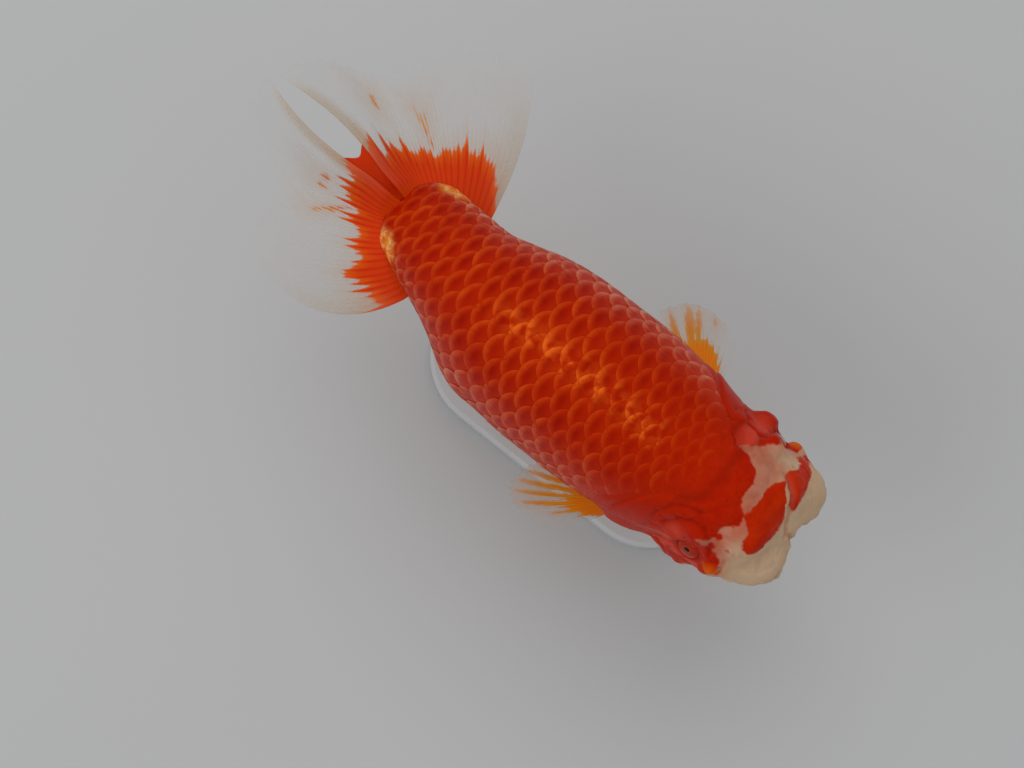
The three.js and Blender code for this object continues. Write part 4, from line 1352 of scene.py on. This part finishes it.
# Painted shade in the folds of the red growth.
FOLD_SHADE_RED = (0.20, 0.006, 0.002)
FIN_RED = (0.66, 0.022, 0.0015)
FIN_ORANGE = (0.74, 0.10, 0.004)
SPOT_ORANGE = (0.66, 0.12, 0.006)
AMBER = (0.80, 0.19, 0.003)
FIN_YELLOW = (0.66, 0.28, 0.015)
WEB = (0.55, 0.48, 0.40)
WEB_RAY = (0.55, 0.45, 0.35)
BAND = (0.54, 0.44, 0.34)
HALO = (0.60, 0.36, 0.20)
LEAD_PINK = (0.72, 0.14, 0.07)
IRIS_DARK, IRIS_LIGHT = (0.42, 0.016, 0.005), (0.52, 0.040, 0.012)
IRIS_INNER, IRIS_OUTER = (0.55, 0.09, 0.015), (0.40, 0.020, 0.008)
PUPIL_BLACK = (0.004, 0.003, 0.003)
# How solid a fin is in the web, on a ray, along the leading edges and where its colour meets the margin.
TAIL_SOLID = dict(web=0.02, ray=0.05, lead=0.55, margin=0.45)
PAIRED_SOLID = dict(web=0.03, ray=0.07, lead=0.03, margin=0.42)


def skin_paint():
    """Wet skin: pale with red growth and bars on the head, orange below, with painted shade darkening the
    folds, pits and slits, and pink lobes that are partly painted light.
    """
    p = Paint("wet_skin", Subsurface_Weight=0.25, Subsurface_Scale=0.0018, Specular_IOR_Level=0.08)
    p.set(Subsurface_Radius=(1.0, 0.4, 0.25), Specular_Tint=(1.0, 0.32, 0.14))
    down, station = p.number("down"), p.number("station")
    ragged, wavering = p.swing(p.noise(1.0, 3), 0.8), p.swing(p.noise(4.0, 2), 0.9)
    red_in = p.plus(p.plus(p.number("red"), ragged), wavering)
    bar_in = p.plus(p.plus(p.number("bar"), ragged), wavering)
    red, bar = p.between(red_in, -0.28, 0.34), p.between(bar_in, -0.25, 0.3)
    cloud = p.noise(7.0, 3)
    pale = p.mix(p.number("band"), CREAM, BAND_PINK)
    pale = p.mix(p.between(cloud, 0.35, 0.75, 0.0, 0.45), pale, CHIN_CREAM)
    pale = p.mix(p.between(down, 0.40, 0.70, 0.0, 0.8), pale, CHIN_CREAM)
    pale = p.mix(p.times(p.between(red_in, -3.2, 0.2), 0.35), pale, BAR_RED)
    hood = p.mix(p.between(p.noise(2.6, 3), 0.3, 0.72), CROWN_RED, p.mix(0.35, CROWN_RED, BAR_RED))
    # Pink lobes and cheeks: partly the growth's own pink, partly a painted highlight on the lumps' tops and
    # painted light on cheeks in shade.
    hood = p.mix(p.number("lobes"), hood, LOBE_RED)
    hood = p.mix(p.between(station, 22.0, 27.0), hood, SCALE_NET)
    hood = p.mix(p.times(p.between(down, 0.52, 0.92), 0.8), hood, BELLY)
    hood = p.mix(p.times(p.number("orange"), p.between(cloud, 0.3, 0.6, 0.5, 0.9)), hood, SPOT_ORANGE)
    hood = p.mix(p.times(p.number("streak"), 0.6), hood, BAND_PINK)
    colour = p.mix(red, pale, hood)
    colour = p.mix(bar, colour, p.mix(p.between(cloud, 0.3, 0.7), BAR_RED, CROWN_RED))
    colour = p.mix(p.between(station, 112.0, 118.0), colour, FIN_RED)
    # Painted shade: folds, pits, slits and the eye sockets' rims darkened, deep red on the red growth and
    # pink on the pale skin.
    colour = p.mix(p.times(p.number("folded"), 0.4), colour, p.mix(red, BAND_PINK, FOLD_SHADE_RED))
    p.set(Base_Color=colour, Roughness=p.between(p.noise(1.6, 2), 0.2, 0.8, 0.34, 0.48))
    pores = p.bump(p.between(p.grains(0.55), 0.0, 0.8), 0.035, 0.5)
    p.set(Normal=p.bump(p.noise(1.3, 3), 0.09, 0.5, under=pores))
    return p


def scale_paint():
    """Scales with a dark heart in a paler rim, paler on the flanks and orange below, with some gold, painted
    glints of light along the back and a painted sparkle on the gold.
    """
    p = Paint("scales", Specular_IOR_Level=0.11)
    p.set(Specular_Tint=(1.0, 0.24, 0.05))
    flank, tone, station = p.number("flank"), p.number("tone"), p.number("station")
    edge = p.plus(p.number("edge"), p.swing(p.noise(1.2, 3), 1.1))
    rim = p.between(edge, 1.9, 0.0)
    belly = p.between(p.number("down"), 0.60, 0.86)

    net = p.mix(flank, SCALE_NET, FLANK_CENTRE)
    blotch = p.times(p.between(station, 28.0, 50.0), p.between(p.noise(11.0, 2), 0.45, 0.8, 0.0, 0.5))
    net = p.mix(blotch, net, BAR_RED)
    heart = p.times(p.number("heart"), p.between(tone, 0.0, 1.0, 1.0, 0.6))
    heart = p.times(heart, p.between(station, 26.0, 60.0, 0.45, 1.0))
    centre = p.mix(heart, net, p.mix(p.times(flank, 0.7), SCALE_CENTRE, CROWN_RED))
    centre = p.mix(belly, centre, BELLY)

    outer = p.mix(belly, p.mix(flank, SCALE_RIM, FLANK_RIM), BELLY_RIM)
    clearest = p.math("MAXIMUM", p.between(station, 30.0, 70.0, 0.32, 0.85), p.times(flank, 1.35))
    strength = p.times(p.times(rim, p.between(tone, 0.0, 1.0, 0.45, 0.85)), clearest)
    strength = p.times(strength, p.between(p.noise(5.0, 2), 0.35, 0.65, 0.5, 1.1))
    colour = p.mix(strength, centre, outer)

    drawn_out = p.noise(0.8, 3, at=p.stretched((0.28, 1, 1)))
    streak = p.times(p.between(drawn_out, 0.42, 0.72), p.times(flank, 0.42))
    colour = p.mix(p.times(streak, p.between(edge, 3.2, 0.4, 0.18, 1.0)), colour, FLANK_RIM)
    # Painted highlight: orange glints of light on the rims of a row of scales along the back.
    glint_spots = p.times(p.number("painted_glint"), p.between(p.noise(2.8, 2), 0.38, 0.62, 0.0, 1.0))
    crescent = p.plus(p.times(rim, 0.75), 0.25)
    colour = p.mix(p.times(glint_spots, crescent), colour, PAINTED_GLINT_ORANGE)

    gold = p.times(p.number("gold"), p.between(p.noise(3.2, 2), 0.3, 0.6, 0.65, 1.0))
    # Painted highlight: sparkle on the free edges of the gold scales; the gold itself is the scales' own
    # colour.
    painted_sparkle = p.times(p.between(p.noise(0.8, 3), 0.38, 0.62), p.between(edge, 2.4, 0.3, 0.1, 1.0))
    colour = p.mix(gold, colour, p.mix(painted_sparkle, p.mix(p.number("heart"), GOLD, PAINTED_GLINT_ORANGE), GOLD_SPARKLE_HIGHLIGHT))
    p.set(Metallic=p.times(gold, 0.35))
    p.set(Base_Color=colour, Roughness=p.between(p.noise(1.4, 2), 0.2, 0.8, 0.34, 0.5))
    lines = p.math("SINE", p.times(p.number("edge"), 26.0))
    growth = p.bump(p.times(p.plus(lines, 1.0), 0.5), 0.012, 0.5)
    p.set(Normal=p.bump(p.noise(0.8, 3), 0.03, 0.5, under=growth))
    return p


def fin_paint(name, base, middle, tip, solid):
    """Coloured flesh at the root and clear web with horny rays beyond it."""
    p = Paint(name, Specular_IOR_Level=0.12)
    p.set(Specular_Tint=(1.0, 0.7, 0.5))
    u, v, ray, lead = (p.number(mark) for mark in ("fin_u", "fin_v", "ray", "lead"))
    fine = p.plus(p.times(p.math("SINE", p.times(u, 420.0)), 0.5), 0.5)
    inside = p.plus(p.plus(p.number("red"), p.swing(p.noise(1.4, 3), 0.05)), p.swing(ray, 0.03))
    red, near_red = p.between(inside, -0.016, 0.026), p.between(inside, -0.2, 0.0)

    warm = p.mix(p.between(inside, 0.0, 0.12), p.mix(p.between(v, 0.36, 0.66), middle, tip), base)
    warm = p.mix(p.times(p.math("SUBTRACT", 1.0, ray), 0.3), warm, middle)
    warm = p.mix(p.between(v, 0.2, 0.06, 0.0, 0.5), warm, middle)
    warm = p.mix(p.times(lead, p.between(v, 0.12, 0.4, 0.0, 0.55)), warm, LEAD_PINK)
    horn = p.mix(lead, p.mix(ray, WEB, WEB_RAY), BAND)
    horn = p.mix(p.times(near_red, 0.6), horn, HALO)
    p.set(Base_Color=p.mix(red, horn, warm), Roughness=p.between(p.noise(2.0, 2), 0.2, 0.8, 0.36, 0.5))

    clear = p.plus(p.plus(p.times(ray, solid["ray"]), solid["web"]), p.times(fine, 0.03))
    clear = p.plus(p.times(clear, p.between(v, 0.55, 1.0, 1.0, 0.4)), p.times(lead, solid["lead"]))
    clear = p.plus(clear, p.times(near_red, 0.16))
    stained = p.times(red, p.between(v, 0.5, 1.0, 0.97, solid["margin"]))
    p.set(Alpha=p.math("MAXIMUM", p.math("MAXIMUM", clear, stained), p.between(v, 0.10, 0.02), clamped=True))
    p.set(Normal=p.bump(fine, 0.04, 0.4, under=p.bump(p.noise(1.0, 2), 0.04, 0.4)))
    return p


def eye_paint():
    """An iris with fine rays round a black pupil."""
    p = Paint("eye_iris", Specular_IOR_Level=0.02)
    radial = p.number("radial")
    at = p.node("CombineXYZ", {}, X=p.times(p.number("streak"), 0.045), Y=p.times(radial, 0.0006)).outputs[0]
    rays = p.noise(1.0, 3, at=at)
    colour = p.mix(p.between(rays, 0.3, 0.7), IRIS_DARK, IRIS_LIGHT)
    colour = p.mix(p.between(radial, GOLD_RING + 0.15, GOLD_RING - 0.1), colour, IRIS_INNER)
    colour = p.mix(p.between(radial, PUPIL + 0.08, PUPIL - 0.06), colour, PUPIL_BLACK)
    colour = p.mix(p.between(radial, IRIS - 0.35, IRIS), colour, IRIS_OUTER)
    p.set(Base_Color=colour, Roughness=p.between(rays, 0.2, 0.8, 0.25, 0.4), Normal=p.bump(rays, 0.05, 0.4))
    return p


def cornea_paint():
    """A clear, wet cornea."""
    p = Paint("cornea", Transmission_Weight=1.0, IOR=1.09, Specular_IOR_Level=0.3)
    p.set(Base_Color=p.mix(p.noise(1.5), (0.98, 0.97, 0.95), (1.0, 1.0, 1.0)), Roughness=0.0)
    return p


def stand_paint():
    """Pale grey paint with a fine speckle."""
    p = Paint("stand_paint", Specular_IOR_Level=0.45)
    speckle = p.noise(0.5, 4)
    tint = p.mix(p.noise(25.0, 2), (0.50, 0.51, 0.52), (0.56, 0.57, 0.575))
    p.set(Base_Color=p.mix(p.between(speckle, 0.3, 0.7, 0.0, 0.25), tint, (0.44, 0.45, 0.46)))
    p.set(Roughness=p.between(speckle, 0.25, 0.75, 0.38, 0.5), Normal=p.bump(p.noise(0.8, 3), 0.04, 0.5))
    return p


def steel_paint():
    """Steel brushed round the rods."""
    p = Paint("rod_steel", Metallic=1.0)
    brushed = p.noise(1.2, 4, 0.6, at=p.stretched((1, 1, 14)))
    p.set(Base_Color=p.mix(brushed, (0.50, 0.505, 0.51), (0.62, 0.62, 0.615)))
    p.set(Roughness=p.between(brushed, 0.2, 0.8, 0.26, 0.38), Normal=p.bump(brushed, 0.01, 0.4))
    return p


def floor_paint():
    """A plain pale floor."""
    p = Paint("studio_floor", Specular_IOR_Level=0.2)
    p.set(Base_Color=p.mix(p.noise(160.0, 2), (0.485, 0.487, 0.49), (0.52, 0.522, 0.525)))
    p.set(Roughness=p.between(p.noise(40.0), 0.2, 0.8, 0.6, 0.7))
    return p


# ------------------------------------------------------------------ camera, floor and light

CAMERA_RIGHT = Vector((0.78, 0.626, 0)).normalized()
CAMERA_TILT = math.radians(9)
CAMERA_LENS, SENSOR_WIDTH = 100.0, 36.0
VIEW_WIDTH = 231.0  # what the picture spans at the fish's level
CAMERA_TARGET = (-11.8, -10.6, 60.0)
FLOOR_REACH = 3.0  # metres from the middle to each side
# Round soft lights aimed at the middle: (name, place and size in metres, watts, colour).
LIGHTS = [
    ("key", (-0.35, 0.45, 1.15), 1.1, 4.2, (1.0, 0.99, 0.97)),
    ("fill", (-0.5, -0.8, 0.9), 0.9, 3.4, (1.0, 0.98, 0.96)),
]
SKY_COLOUR, SKY_STRENGTH = (0.96, 0.98, 1.0, 1), 0.52


def make_camera():
    """The camera, above the fish and a little off the vertical."""
    ahead = Vector((-CAMERA_RIGHT.y, CAMERA_RIGHT.x, 0))
    towards = -math.sin(CAMERA_TILT) * ahead + math.cos(CAMERA_TILT) * Vector((0, 0, 1))
    data = bpy.data.cameras.new("camera")
    data.lens, data.sensor_width = CAMERA_LENS, SENSOR_WIDTH
    data.clip_start, data.clip_end = 0.01, 20
    turn = Matrix((CAMERA_RIGHT, towards.cross(CAMERA_RIGHT), towards)).transposed().to_4x4()
    where = (Vector(CAMERA_TARGET) + towards * (CAMERA_LENS / SENSOR_WIDTH * VIEW_WIDTH)) * MM
    camera = add_object("camera", data)
    camera.matrix_world = Matrix.Translation(where) @ turn
    bpy.context.scene.camera = camera


def make_lights():
    """The soft lights and a pale sky, shown in their own tones."""
    for name, where, size, power, colour in LIGHTS:
        data = bpy.data.lights.new(name, "AREA")
        data.shape, data.size, data.energy, data.color = "DISK", size, power, colour
        light = add_object(name, data)
        light.location = where
        light.rotation_euler = (-Vector(where)).to_track_quat("-Z", "Y").to_euler()
    world = bpy.data.worlds.new("studio")
    world.use_nodes = True
    sky = world.node_tree.nodes["Background"]
    sky.inputs["Color"].default_value = SKY_COLOUR
    sky.inputs["Strength"].default_value = SKY_STRENGTH
    bpy.context.scene.world = world
    bpy.context.scene.view_settings.view_transform = "Standard"


def make_floor():
    """The floor that the stand is on."""
    mesh = bpy.data.meshes.new("studio_floor")
    corners = [(x * FLOOR_REACH, y * FLOOR_REACH, 0) for x, y in ((-1, -1), (1, -1), (1, 1), (-1, 1))]
    mesh.from_pydata(corners, [], [(0, 1, 2, 3)])
    floor = add_object("studio_floor", mesh)
    floor_paint().cover(floor)


# ------------------------------------------------------------------ the whole model


def main():
    """Makes every piece with its paint, then the studio round it."""
    draw = np.random.default_rng(11)
    skin_paint().cover(make_skin())
    scales = scale_paint()
    for side in SIDES:
        scales.cover(make_coat(side, draw))
    red_fin = fin_paint("tail_fin", FIN_RED, FIN_ORANGE, FIN_YELLOW, TAIL_SOLID)
    gold_fin = fin_paint("paired_fin", AMBER, FIN_YELLOW, FIN_YELLOW, PAIRED_SOLID)
    for fin, shape in FINS.items():
        for side in shape["red"]:
            (red_fin if fin.startswith("tail") else gold_fin).cover(make_fin(fin, side, draw))
    iris, clear = eye_paint(), cornea_paint()
    for side in SIDES:
        iris.cover(make_eyeball(side))
        clear.cover(make_cornea(side))
    painted, steel = stand_paint(), steel_paint()
    painted.cover(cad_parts["stand_base"])
    for rod in ("stand_rod_front", "stand_rod_rear"):
        steel.cover(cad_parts[rod])
    make_camera()
    make_floor()
    make_lights()


main()
